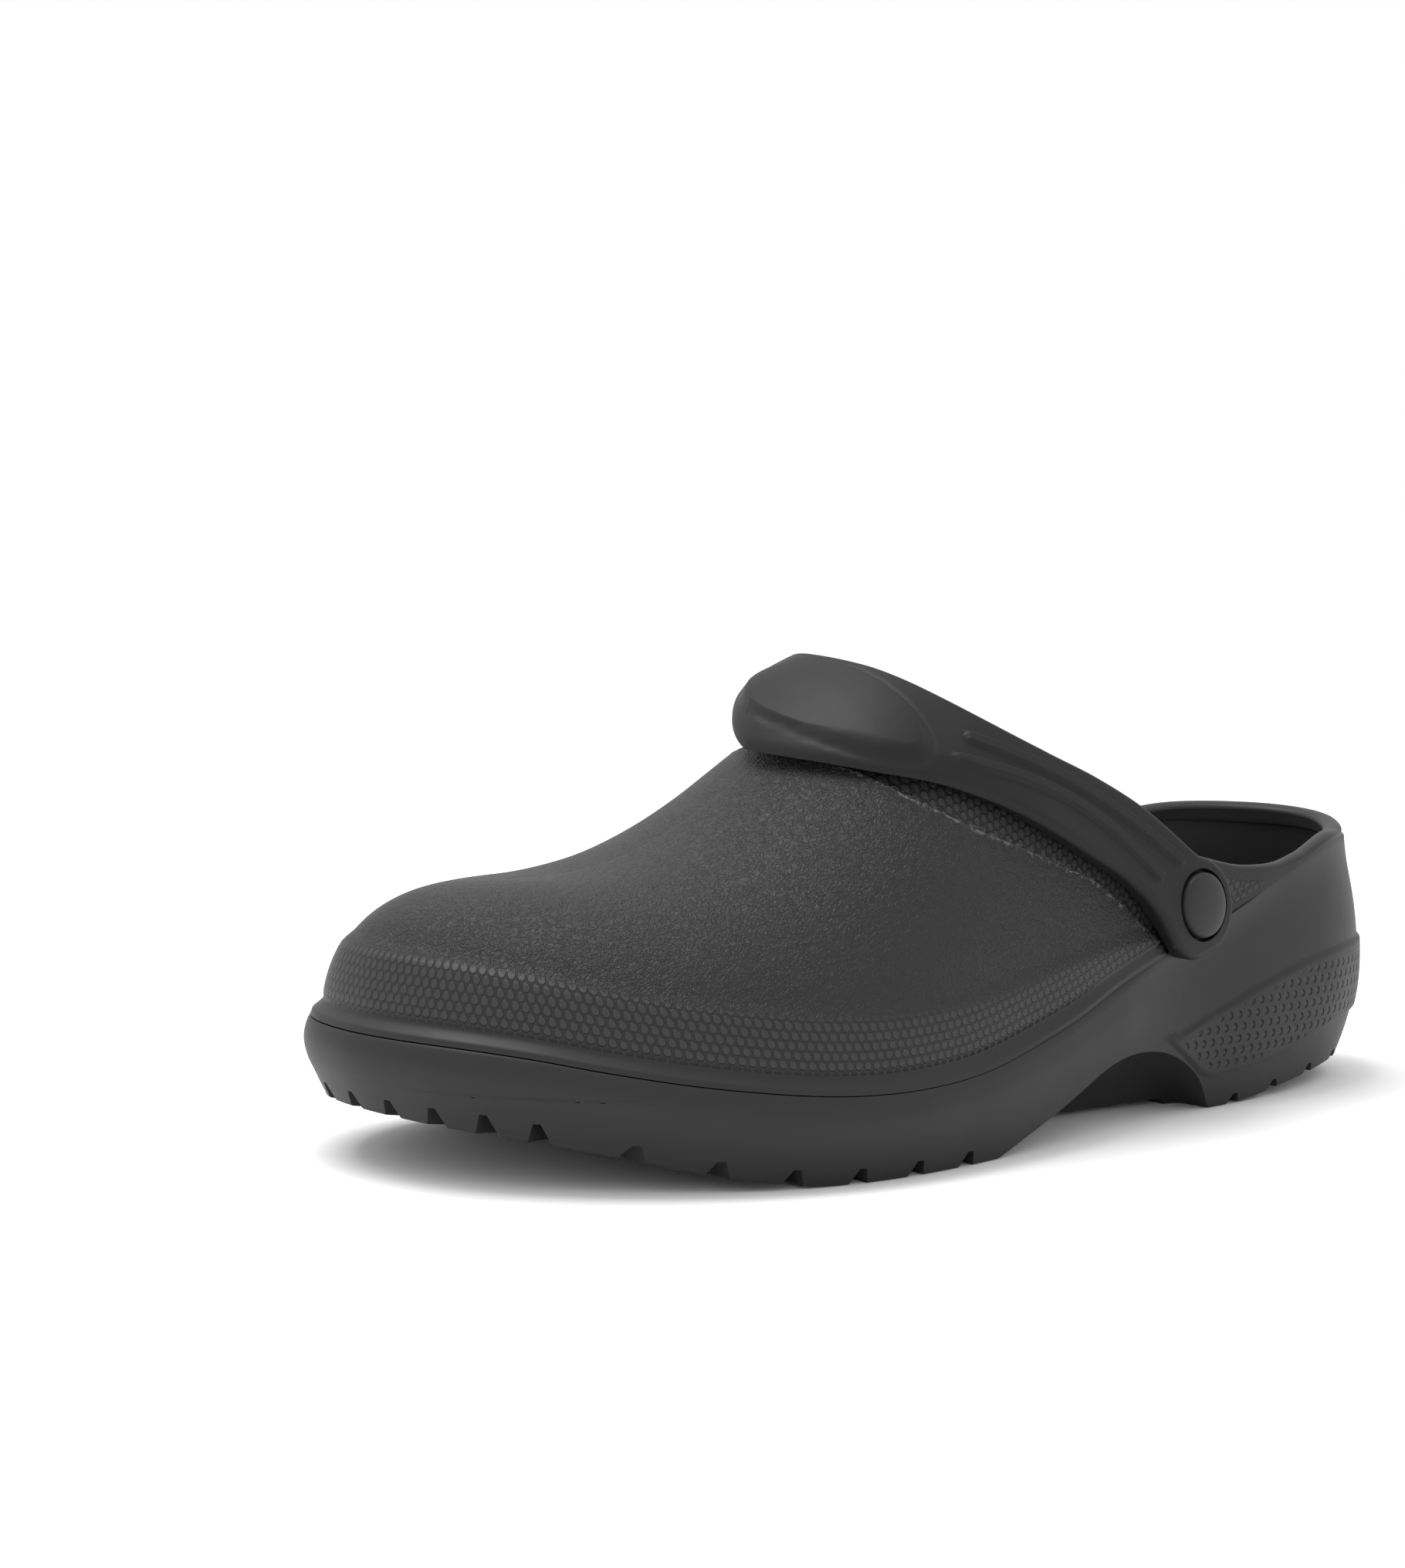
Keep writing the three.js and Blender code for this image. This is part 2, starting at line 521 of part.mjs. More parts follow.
// Bead along the upper's lower edge
function bead(clearance) {
  const out = (inward) => (x) => {
    return mix(BAND_OVERHANG, flareAt(x), heelness(x)) - inward * BAND_OVERHANG + clearance;
  };
  const up = (amount) => (x) => seamZ(x) + BEAD_HEIGHT * amount + clearance;
  return solid(skin([
    middle(outerPlan, (at, x) => seamZ(x) - BEAD_HEIGHT),
    ring(outerPlan, out(0), (x) => seamZ(x) - BEAD_HEIGHT),
    ring(outerPlan, out(0.02), up(0.5)),
    ring(outerPlan, out(0.3), up(0.95)),
    ring(outerPlan, out(BEAD_DEPTH), up(BEAD_FILLET)),
    middle(outerPlan, (at, x) => seamZ(x) + BEAD_HEIGHT * BEAD_FILLET + clearance),
  ]));
}

// Outside of the upper, grown by a clearance where another piece is fitted over it
const aheadOfRidge = () => {
  const line = RIDGE.map((row) => [row.station * LAST_LENGTH, ridgeZ(row.station * LAST_LENGTH)]);
  const [topX, topZ] = line[line.length - 1];
  const [footX] = line[0];
  const front = LAST_LENGTH + END_ROOM;
  return sidePrism([...line, [topX, topZ + REACH], [front, topZ + REACH], [front, CLEAR_BELOW],
    [footX, CLEAR_BELOW]]);
};
function upperSkin(clearance) {
  const vamp = dome(clearance).intersect(aheadOfRidge());
  const foxing = dome(FOXING_STEP + clearance).intersect(below((x) => foxingZ(x) + clearance));
  return join(vamp, dome(clearance, { recess: 1 }), foxing.intersect(aheadOfRidge()), bead(clearance));
}

// Inside of the shoe: footbed, walls and the underside of the dome
function cavity() {
  const edge = (x) => -FOOTBED_INSET;
  return solid(skin([
    middle(innerPlan, (at) => footbedZ(at) - FOOTBED_DISH),
    ring(innerPlan, edge, footbedZ),
    ...domeRings(innerPlan, -UPPER_WALL),
  ]));
}
const inside = cavity();

// Outside of the sole, from the tread to the seam, grown by a clearance
function soleSkin(clearance, extra = 0) {
  const rings = SIDEWALL.map((row) => {
    const out = (x) => {
      const fore = BAND_OVERHANG * row.overhang + BAND_SWELL * row.swell;
      const rear = BAND_OVERHANG * row.heelOverhang + BAND_SWELL * row.heelSwell;
      return mix(fore, mix(rear, flareAt(x), row.flush), heelness(x)) + clearance + extra;
    };
    return ring(outerPlan, out, (x) => mix(treadZ(x) - clearance, seamZ(x), row.up));
  });
  const roof = (x) => mix(treadZ(x), seamZ(x), SIDEWALL[SIDEWALL.length - 1].up);
  return solid(skin([
    middle(outerPlan, (at) => treadZ(at) - clearance),
    ...rings,
    middle(outerPlan, (at, x) => roof(x)),
  ]));
}

// Hollow at the waist on one side, cut in under the side band
function archHollow(side) {
  const stations = ARCH.map((row) => row.station * LAST_LENGTH);
  const arc = [0, 0.2, 0.4, 0.6, 0.8, 1];
  const bottom = -GROOVE_DEPTH;
  const rings = stations.map((x) => {
    const q = turn(share(x));
    const wall = BALL_WIDTH * Math.abs(side > 0 ? lateralShare(q) : medialShare(q));
    const high = ARCH_HEIGHT * archShare(share(x));
    const run = wall - ARCH_CORE / 2;
    const curved = arc.map((t) => [
      wall - run * Math.sin(t * Math.PI / 2),
      high * Math.cos(t * Math.PI / 2) - WAIST_LIFT * t,
    ]);
    const outline = [[REACH, bottom], [REACH, curved[0][1]], ...curved, [wall - run, bottom]];
    return outline.map(([y, z]) => new THREE.Vector3(x, side * y, z));
  });
  const centre = (points) => {
    const sum = points.reduce((a, b) => a.add(b), new THREE.Vector3());
    return points.map(() => sum.clone().divideScalar(points.length));
  };
  const ordered = side < 0 ? rings : rings.map((points) => points.reverse());
  const capped = [centre(ordered[0].map((p) => p.clone())), ...ordered,
    centre(ordered[ordered.length - 1].map((p) => p.clone()))];
  return solid(skin(capped));
}

// One wedge-shaped groove of the tread from one point to another
function groove(from, to) {
  const length = from.distanceTo(to);
  const shape = new THREE.Shape([
    new THREE.Vector2(-GROOVE_MOUTH / 2 * 1.4, -GROOVE_DEPTH * 0.8),
    new THREE.Vector2(GROOVE_MOUTH / 2 * 1.4, -GROOVE_DEPTH * 0.8),
    new THREE.Vector2(GROOVE_ROOT / 2, GROOVE_DEPTH),
    new THREE.Vector2(-GROOVE_ROOT / 2, GROOVE_DEPTH),
  ]);
  const bar = new THREE.ExtrudeGeometry(shape, { depth: length, bevelEnabled: false });
  const forward = to.clone().sub(from).normalize();
  const sideways = new THREE.Vector3(0, 0, 1).cross(forward).normalize();
  const upward = forward.clone().cross(sideways);
  bar.applyMatrix4(new THREE.Matrix4().makeBasis(sideways, upward, forward));
  return solid(bar.translate(from.x, from.y, from.z));
}
const onTread = (x, y) => new THREE.Vector3(x, y, treadZ(x));
const halfWidth = (x, side) => BALL_WIDTH * (side > 0 ? lateralShare : medialShare)(turn(share(x)));

// Grooves run across the forefoot and the heel, and fan out round the toe
function treadGrooves() {
  const past = 8; // run past the sole's edge
  const across = (x) => groove(onTread(x, halfWidth(x, -1) - past), onTread(x, halfWidth(x, 1) + past));
  const grooves = [];
  [FORE_GROOVES, HEEL_GROOVES].forEach(({ from, to }) => {
    for (let x = from; x < to; x += GROOVE_PITCH) grooves.push(across(x));
  });
  for (let i = 0; i < SPOKES.count; i += 1) {
    const angle = mix(SPOKES.first, SPOKES.last, i / (SPOKES.count - 1));
    const spoke = (far) => onTread(SPOKES.x + far * Math.cos(angle), SPOKES.y + far * Math.sin(angle));
    grooves.push(groove(spoke(SPOKES.inner), spoke(SPOKES.outer)));
  }
  return join(...grooves);
}

// Raised panel round the heel
function heelPanel(clearance) {
  const x = (row) => row.station * LAST_LENGTH;
  const high = PANEL.map((row) => [x(row), row.high * RIM_HEIGHT]);
  const low = PANEL.map((row) => [x(row), row.low * RIM_HEIGHT]).reverse();
  return soleSkin(clearance, PANEL_STEP).intersect(sidePrism([...high, ...low]));
}

function makeSole() {
  const waist = sidePrism([
    [WAIST_START - WAIST_RAMP, -GROOVE_DEPTH * 3], [WAIST_START, WAIST_LIFT],
    [WAIST_END, WAIST_LIFT], [WAIST_END + WAIST_RAMP, -GROOVE_DEPTH * 3],
  ]);
  return geometryOf(join(soleSkin(0), heelPanel(0))
    .subtract(above(seamZ))
    .subtract(inside)
    .subtract(join(archHollow(1), archHollow(-1), waist, treadGrooves())));
}

// Rivets: place and direction on each side
const rivetSeat = (side) => {
  const z = seamZ(RIVET_STATION * LAST_LENGTH) + RIVET_RISE;
  return onDome(RIVET_STATION, z, side, -recessAt(RIVET_STATION * LAST_LENGTH));
};
const SIDES = [{ name: 'lateral', side: 1 }, { name: 'medial', side: -1 }];

// Turns a shape made along +Y to point out of the shoe at a rivet
function toRivet(geometry, side) {
  const { point, normal } = rivetSeat(side);
  const turned = new THREE.Quaternion().setFromUnitVectors(new THREE.Vector3(0, 1, 0), normal);
  return geometry.clone().applyQuaternion(turned).translate(point.x, point.y, point.z);
}
const ROUND = 18;
const lathe = (profile) => new THREE.LatheGeometry(profile.map(([r, y]) => new THREE.Vector2(r, y)), ROUND);
const disc = (radius, from, to) => lathe([[0, from], [radius, from], [radius, to], [0, to]]);

const wallInside = COLLAR_STEP - UPPER_WALL; // inner wall, from the seat of the strap
const capSeat = wallInside + CAP_SPOTFACE;
function makeUpper() {
  let body = upperSkin(0)
    .subtract(below((x) => seamZ(x) + FIT))
    .subtract(above(collarZ, COLLAR_TILT))
    .subtract(inside);
  SIDES.forEach(({ side }) => {
    const bore = disc(SHAFT_RADIUS + FIT, -REACH / 4, REACH / 4);
    const spotface = disc(CAP_RADIUS + FIT, capSeat - REACH / 9, capSeat);
    body = body.subtract(solid(toRivet(bore, side))).subtract(solid(toRivet(spotface, side)));
  });
  return geometryOf(body);
}

// The strap lies on the collar band and keeps clear of vamp and sole
const strapInner = FIT - COLLAR_STEP;
const strapOuter = strapInner + STRAP_THICKNESS;
const rivetPoint = rivetSeat(1).point;
const crestPoint = {
  x: STRAP_CREST_STATION * LAST_LENGTH,
  z: crestZ(STRAP_CREST_STATION * LAST_LENGTH) + STRAP_THICKNESS * 1.3,
};
const strapRun = Math.hypot(crestPoint.x - rivetPoint.x, crestPoint.z - rivetPoint.z);
const strapWay = {
  x: (crestPoint.x - rivetPoint.x) / strapRun,
  z: (crestPoint.z - rivetPoint.z) / strapRun,
};
// Side-view point at a share of the strap's run and a distance to the rear of its line
const strapAt = (along, rearward) => [
  rivetPoint.x + strapWay.x * along * strapRun - strapWay.z * rearward,
  rivetPoint.z + strapWay.z * along * strapRun + strapWay.x * rearward,
];
const strapFront = curve(STRAP_FRONT, 'front', 'along');
const strapRear = curve(STRAP_REAR, 'rear', 'along');

// Side view of the strap, drawn in from its front and rear edges by the given amounts
function strapOutline(fromFront = 0, fromRear = 0, steps = 14) {
  const frontEnd = STRAP_FRONT[STRAP_FRONT.length - 1].along;
  const rearEnd = STRAP_REAR[STRAP_REAR.length - 1].along;
  const front = [];
  const rear = [];
  for (let i = 0; i <= steps; i += 1) {
    const frontAlong = mix(STRAP_FRONT[0].along, frontEnd, i / steps);
    const rearAlong = mix(STRAP_REAR[0].along, rearEnd, i / steps);
    front.push(strapAt(frontAlong, strapFront(frontAlong) * STRAP_WIDTH + fromFront));
    rear.push(strapAt(rearAlong, strapRear(rearAlong) * STRAP_WIDTH - fromRear));
  }
  // Past the crest both edges leave square to the strap's own surface
  const rise = { x: 0.6, z: 0.8 };
  const lift = 30;
  const beyond = ([x, z]) => [x + rise.x * lift, z + rise.z * lift];
  return [...front, beyond(front[steps]), beyond(rear[steps]), ...rear.reverse()];
}
function circleOutline([cx, cz], radius, steps) {
  return Array.from({ length: steps }, (_, i) => {
    const angle = (2 * Math.PI * i) / steps;
    return [cx + radius * Math.cos(angle), cz + radius * Math.sin(angle)];
  });
}

// Side view of one rib, with narrowed ends
function ribOutline({ from, to, rear, bow }, steps = 6) {
  const half = RIB_WIDTH / 2;
  const lower = [];
  const upper = [];
  for (let i = 0; i <= steps; i += 1) {
    const rearward = (rear + bow * Math.sin((Math.PI * i) / steps)) * STRAP_WIDTH;
    const taper = i === 0 || i === steps ? 0.4 : 1;
    lower.push(strapAt(mix(from, to, i / steps), rearward - half * taper));
    upper.push(strapAt(mix(from, to, i / steps), rearward + half * taper));
  }
  return [...lower, ...upper.reverse()];
}

// Oval column square to the strap where the badge lies
function badgeColumn() {
  const x = BADGE_STATION * LAST_LENGTH;
  const { point, normal } = onDome(BADGE_STATION, mix(domeBase(x), crestZ(x), BADGE_UP), 1, 0);
  const alongShoe = new THREE.Vector3(0, 1, 0).cross(normal).normalize();
  const across = alongShoe.clone().cross(normal);
  const oval = disc(0.5, -REACH / 4, REACH / 4).scale(BADGE_WIDTH, 1, BADGE_LENGTH);
  oval.applyMatrix4(new THREE.Matrix4().makeBasis(alongShoe, normal, across));
  return solid(oval.translate(point.x, point.y, point.z));
}

// Everything behind the strap's front edge, which bends back to both sides
function behindNose() {
  const steps = 18;
  const half = BALL_WIDTH / 2;
  const edge = Array.from({ length: steps + 1 }, (_, i) => {
    const y = mix(-half, half, i / steps);
    return new THREE.Vector2(STRAP_NOSE - y ** 2 / (2 * STRAP_NOSE_RADIUS), y + STRAP_MIDDLE);
  });
  const behind = [half, -half].map((y) => new THREE.Vector2(-END_ROOM, y + STRAP_MIDDLE));
  const shape = new THREE.Shape([...edge, ...behind]);
  return solid(new THREE.ExtrudeGeometry(shape, { depth: CLEAR_ABOVE, bevelEnabled: false }));
}

const arched = { crown: STRAP_CROWN, skew: STRAP_SKEW };
function makeStrap() {
  const outline = sidePrism(strapOutline()).intersect(behindNose());
  const lobe = sidePrism(circleOutline([rivetPoint.x, rivetPoint.z], LOBE_RADIUS, 28));
  const shell = dome(strapOuter, arched).intersect(outline.add(lobe));
  const behindLip = sidePrism(strapOutline(LIP_WIDTH, -STRAP_WIDTH));
  const lip = dome(strapOuter + LIP_RISE, arched).intersect(outline.subtract(behindLip.add(lobe)));
  const ribs = join(...RIBS.map((row) => sidePrism(ribOutline(row))));
  const ribbed = dome(strapOuter + RIB_RISE, arched).intersect(ribs);
  const badge = dome(strapOuter + BADGE_RISE, arched).intersect(badgeColumn()).intersect(outline);
  const clear = dome(strapOuter - STRAP_BODY, arched).subtract(lobe);
  let body = join(shell, lip, ribbed, badge)
    .subtract(clear)
    .subtract(upperSkin(FIT))
    .subtract(soleSkin(FIT));
  SIDES.forEach(({ side }) => {
    const seat = disc(BUTTON_RADIUS + BUTTON_GROOVE, strapOuter + COLLAR_STEP - BUTTON_SEAT, REACH / 4);
    const bore = disc(SHAFT_RADIUS + FIT, -REACH / 4, REACH / 4);
    body = body.subtract(solid(toRivet(seat, side))).subtract(solid(toRivet(bore, side)));
  });
  return geometryOf(body);
}

// Outer half of a rivet: domed button in its recess, with a shaft into the cap
function makeButton(side) {
  const under = strapOuter + COLLAR_STEP - BUTTON_SEAT + FIT;
  const edge = strapOuter + COLLAR_STEP + BUTTON_DOME * 0.2;
  const dome = edge + BUTTON_DOME;
  const tip = capSeat - FIT - CAP_THICKNESS + CAP_BORE;
  return toRivet(lathe([
    [0, tip], [SHAFT_RADIUS, tip], [SHAFT_RADIUS, under], [BUTTON_RADIUS, under],
    [BUTTON_RADIUS, edge - 0.4], [BUTTON_RADIUS * 0.94, edge],
    [BUTTON_RADIUS * 0.6, mix(edge, dome, 0.75)], [0, dome],
  ]), side);
}

// Inner half: a low cap with a blind bore for the shaft
function makeCap(side) {
  const seat = capSeat - FIT;
  const crown = seat - CAP_THICKNESS;
  const bore = SHAFT_RADIUS + FIT;
  const boreEnd = seat - CAP_THICKNESS + CAP_BORE - FIT;
  return toRivet(lathe([
    [0, crown], [CAP_RADIUS * 0.7, crown], [CAP_RADIUS, crown + CAP_THICKNESS * 0.6],
    [CAP_RADIUS, seat], [bore, seat], [bore, boreEnd], [0, boreEnd],
  ]), side);
}

function makeInsole() {
  const depth = (x) => domeBase(x) - footbedZ(x);
  const out = (up) => (x) => {
    const wall = flareAt(x) - UPPER_WALL;
    return mix(-FOOTBED_INSET, wall, up / depth(x)) - FIT;
  };
  const lower = (x) => footbedZ(x) + FIT;
  const upper = (x) => footbedZ(x) + INSOLE_THICKNESS;
  return skin([
    middle(innerPlan, (at) => footbedZ(at) - FOOTBED_DISH + FIT),
    ring(innerPlan, out(0), lower),
    ring(innerPlan, out(0), upper),
    middle(innerPlan, (at) => footbedZ(at) - FOOTBED_DISH + INSOLE_THICKNESS),
  ]);
}

// Materials: one dark foam, a little duller underneath and inside
const foam = () => new THREE.MeshStandardMaterial({ color: 0x3a3a3c, roughness: 0.58, metalness: 0 });
const footbed = () => new THREE.MeshStandardMaterial({ color: 0x2e2e30, roughness: 0.75, metalness: 0 });
const rivet = () => new THREE.MeshStandardMaterial({ color: 0x38383a, roughness: 0.5, metalness: 0 });

const clog = new THREE.Group();
function add(name, geometry, material) {
  const mesh = new THREE.Mesh(geometry, material);
  mesh.name = name;
  clog.add(mesh);
}
add('sole', makeSole(), foam());
add('upper', makeUpper(), foam());
add('insole', makeInsole(), footbed());
add('strap', makeStrap(), foam());
SIDES.forEach(({ name, side }) => {
  add(`rivet_button_${name}`, makeButton(side), rivet());
  add(`rivet_cap_${name}`, makeCap(side), rivet());
});

// The origin is under the middle of the shoe, on the floor
const box = new THREE.Box3().setFromObject(clog);
clog.position.set(-(box.min.x + box.max.x) / 2, -(box.min.y + box.max.y) / 2, -box.min.z);

export default clog;
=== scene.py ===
# %% [markdown]
# # Chef clog, left shoe
# A work clog is moulded foam: a sole unit, a hollow upper, a footbed and a strap on two snap rivets.
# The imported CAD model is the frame. Its sizes are kept, and each piece is made again here with a
# finer surface, so that soft edges, raised lines and the moulded textures can be seen.

# %% Frame and libraries
import json

import bmesh
import bpy
import numpy as np
from mathutils import Matrix, Vector

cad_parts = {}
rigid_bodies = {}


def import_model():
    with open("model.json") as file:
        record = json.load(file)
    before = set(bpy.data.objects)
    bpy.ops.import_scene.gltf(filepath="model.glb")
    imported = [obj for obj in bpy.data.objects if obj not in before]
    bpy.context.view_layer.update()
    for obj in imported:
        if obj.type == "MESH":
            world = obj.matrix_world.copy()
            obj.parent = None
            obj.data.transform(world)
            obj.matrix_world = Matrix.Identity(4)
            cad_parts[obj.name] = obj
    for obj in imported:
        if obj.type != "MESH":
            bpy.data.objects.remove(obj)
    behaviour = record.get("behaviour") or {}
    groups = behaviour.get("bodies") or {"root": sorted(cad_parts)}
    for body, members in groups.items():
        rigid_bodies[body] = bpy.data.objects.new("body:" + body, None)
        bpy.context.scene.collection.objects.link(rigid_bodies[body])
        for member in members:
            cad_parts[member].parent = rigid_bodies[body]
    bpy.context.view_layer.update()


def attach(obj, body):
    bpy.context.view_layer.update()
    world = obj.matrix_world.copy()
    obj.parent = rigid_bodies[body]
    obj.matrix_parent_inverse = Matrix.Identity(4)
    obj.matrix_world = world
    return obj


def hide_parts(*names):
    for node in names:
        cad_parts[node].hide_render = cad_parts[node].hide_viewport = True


for leftover in list(bpy.data.objects):
    bpy.data.objects.remove(leftover)
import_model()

# %% [markdown]
# ## Driving sizes
# All sizes are millimetres in the maker's own frame: x from heel to toe, y to the outer side, z up.
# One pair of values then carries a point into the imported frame, whose origin is under the middle.

# %% Sizes
LAST_LENGTH = 280.0  # plan outline of the upper at its seam
BALL_WIDTH = 111.0
INSTEP_HEIGHT = 100.0
TOE_HEIGHT = 59.2
RIM_HEIGHT = 65.2
COLLAR_DIP = 6.4
COLLAR_TILT = 0.045  # the rim is lower on the outer side
SIDEWALL_HEIGHT = 19.3
RIM_BAND = 4.2
TOE_SPRING = 14.0
HEEL_SPRING = 5.0
BALL_SUBSTANCE = 11.0
HEEL_SUBSTANCE = 22.0
FOOTBED_DISH = 1.6
FOOTBED_INSET = 6.0
UPPER_WALL = 4.0
INSOLE_THICKNESS = 4.0
FIT = 0.3
BAND_OVERHANG = 3.2
BAND_SWELL = 1.1
BEAD_HEIGHT = 2.4
SEAM_GAP = 0.02  # the two mouldings touch along the seam, apart from this fine line
BEAD_TOP = 4.0  # where the bead has run into the wall
BEAD_BEND = 1.3  # up to here the bead is convex, above it hollow
BEAD_TUCK = 0.7  # the bead draws in a little just above the seam
CHANNEL_TOP = 4.2  # fine channel between the bead and the dotted band
CHANNEL_DEPTH = 0.25
FOXING_HEIGHT = 17.0
FOXING_STEP = 0.8
COLLAR_STEP = 1.5
PANEL_STEP = 0.8
BASE_DROP = 3.0
TOE_FAN = 33.0
TOE_FAN_START = 190.0
HEEL_FAN = 35.0
HEEL_FAN_END = 90.0
MIDDLE = np.array([140.325, 1.565, 0.0])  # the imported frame's origin in the maker's frame
MM = 0.001


def mix(a, b, t):
    return a + (b - a) * t


def smooth(low, high, value):
    """0 below low, 1 above high, with an S-shaped rise between them."""
    t = np.clip((value - low) / (high - low), 0, 1)
    return t * t * (3 - 2 * t)


# %% [markdown]
# ## Tables
# A shoe last is not a sum of boxes and cylinders. Its shape is kept in short tables, each a share of
# a driving size at a station along the shoe, and a smooth curve runs through every column.


# %% Curves through tables
def table(columns, rows):
    return {name: np.array([row[i] for row in rows]) for i, name in enumerate(columns.split())}


def curve(rows, column, key="station", place=None):
    """Smooth curve through one column: cubic pieces with three-point slopes."""
    xs = rows[key] if place is None else place(rows[key])
    ys = rows[column]
    step = np.diff(xs)
    rate = np.diff(ys) / step
    slope = np.empty_like(ys)
    slope[0] = rate[0]
    slope[-1] = rate[-1]
    slope[1:-1] = (rate[:-1] * step[1:] + rate[1:] * step[:-1]) / (step[:-1] + step[1:])

    def at(value):
        x = np.clip(value, xs[0], xs[-1])
        i = np.clip(np.searchsorted(xs, x) - 1, 0, len(xs) - 2)
        t = (x - xs[i]) / step[i]
        eased = t * t * (3 - 2 * t)
        bend = t * (1 - t) * step[i] * ((1 - t) * slope[i] - t * slope[i + 1])
        return ys[i] + (ys[i + 1] - ys[i]) * eased + bend

    return at


OUTLINE = table("station lateral medial", [
    (0, 0, 0), (0.02, 0.14, -0.14), (0.05, 0.212, -0.212), (0.1, 0.275, -0.275),
    (0.2, 0.324, -0.306), (0.3, 0.347, -0.315), (0.4, 0.387, -0.329), (0.5, 0.45, -0.365),
    (0.6, 0.5, -0.414), (0.67, 0.514, -0.45), (0.74, 0.5, -0.477), (0.8, 0.459, -0.486),
    (0.86, 0.387, -0.477), (0.91, 0.302, -0.446), (0.95, 0.207, -0.383),
    (0.98, 0.099, -0.297), (0.995, -0.009, -0.216), (1, -0.108, -0.108),
])
CREST = table("station crest middle boxy", [
    (0, 0.951, 0, 2.05), (0.214, 1.049, 0, 2.05), (0.357, 1.123, 0, 2.05),
    (0.464, 1.147, 0.003, 2.05), (0.5, 1.11, 0.007, 2.05), (0.536, 1.049, 0.009, 2.05),
    (0.571, 0.98, 0.009, 2.05), (0.607, 0.853, 0.006, 2.05), (0.643, 0.676, 0, 2.05),
    (0.679, 0.485, -0.007, 2.1), (0.725, 0.281, -0.02, 2.15), (0.771, 0.132, -0.034, 2.2),
    (0.821, 0.044, -0.051, 2.3), (0.857, 0.024, -0.063, 2.35), (0.893, 0.018, -0.073, 2.4),
    (0.936, 0.012, -0.084, 2.4), (1, 0.005, -0.092, 2.4),
])
SEAM = table("station heel toe foxing flare recess", [
    (0, 1, 0, 0.2, -1.2, 0), (0.03, 1, 0, 0.2, -0.9, 0), (0.06, 1, 0, 0.2, -0.4, 0),
    (0.1, 1, 0, 0.2, 0.1, 0), (0.145, 0.925, 0, 0.22, 0.42, 0.1),
    (0.202, 0.8, 0, 0.25, 0.62, 0.35), (0.25, 0.675, 0, 0.28, 0.8, 0.8),
    (0.332, 0.513, 0, 0.36, 0.94, 1), (0.404, 0.372, 0, 0.58, 0.72, 1),
    (0.471, 0.226, 0, 0.8, 0.36, 1), (0.532, 0.122, 0, 0.88, 0.1, 1),
    (0.6, 0.031, 0, 0.95, 0, 1), (0.66, 0, 0, 0.98, 0, 1), (0.732, 0, 0.021, 0.98, 0, 1),
    (0.793, 0, 0.143, 0.98, 0, 1), (0.846, 0, 0.293, 0.98, 0, 1), (0.896, 0, 0.479, 1, 0, 1),
    (0.939, 0, 0.657, 1.02, 0, 1), (0.975, 0, 0.757, 1.04, 0, 1), (1.01, 0, 0.79, 1.04, 0, 1),
])
COLLAR = table("station dip rise", [
    (-0.05, 0, 0), (0.036, 0.1, 0), (0.1, 0.34, 0), (0.15, 0.73, 0), (0.186, 1, 0),
    (0.214, 1, 0), (0.246, 1, 0.026), (0.275, 1, 0.083), (0.304, 1, 0.15), (0.339, 1, 0.345),
    (0.379, 1, 0.583), (0.421, 1, 0.75), (0.464, 1, 0.931), (0.507, 1, 1.04),
    (0.543, 1, 1.098), (0.575, 1, 1.126), (0.65, 1, 1.3),
])
TREAD = table("station toe heel bed bedtoe", [
    (0, 0, 1.04, 1.15, 0), (0.09, 0, 0.92, 1.05, 0), (0.125, 0, 0.72, 1.02, 0),
    (0.164, 0, 0.44, 0.99, 0), (0.21, 0, 0.12, 0.96, 0), (0.245, 0, 0, 0.93, 0),
    (0.36, 0, 0, 0.78, 0), (0.48, 0, 0, 0.42, 0), (0.6, 0, 0, 0.1, 0), (0.71, 0, 0, 0, 0),
    (0.746, 0.029, 0, 0, 0.04), (0.793, 0.143, 0, 0, 0.14), (0.836, 0.307, 0, 0, 0.3),
    (0.871, 0.479, 0, 0, 0.43), (0.918, 0.686, 0, 0, 0.58), (0.95, 0.8, 0, 0, 0.67),
    (0.975, 0.886, 0, 0, 0.72), (1.01, 1, 0, 0, 0.78),
])
SIDEWALL = table("up overhang swell rear rearswell flush", [
    (0, -0.25, 0, -0.5, 0, 0), (0.1, 0.05, 0, 0.1, 0, 0), (0.3, 0.5, 0.2, 0.75, 0.3, 0),
    (0.52, 0.88, 0.7, 0.65, 0.7, 0), (0.76, 1, 1, 0.3, 0.3, 0.1), (0.93, 1, 0.5, 0, 0, 0.45),
    (1.08, 1, 0, 0, 0, 1),
])
RIDGE = table("station rise", [
    (0.33, 0.16), (0.349, 0.266), (0.379, 0.352), (0.431, 0.481), (0.478, 0.546),
    (0.52, 0.602), (0.578, 0.685), (0.62, 0.775), (0.65, 0.88), (0.67, 1),
])
print("tables:", len(OUTLINE["station"]), "rows of outline,", len(CREST["station"]), "of crest")


# %% Heights along the shoe
def turn(station):
    """The outline is read against this angle, so that it closes round at heel and toe."""
    return np.arccos(np.clip(1 - 2 * np.asarray(station, float), -1, 1)) / np.pi


lateral_share = curve(OUTLINE, "lateral", place=turn)
medial_share = curve(OUTLINE, "medial", place=turn)


def along(rows, column):
    read = curve(rows, column)
    return lambda x: read(np.asarray(x) / LAST_LENGTH)


def reads(rows):
    """One function of x for every column after the station."""
    return [along(rows, name) for name in list(rows)[1:]]


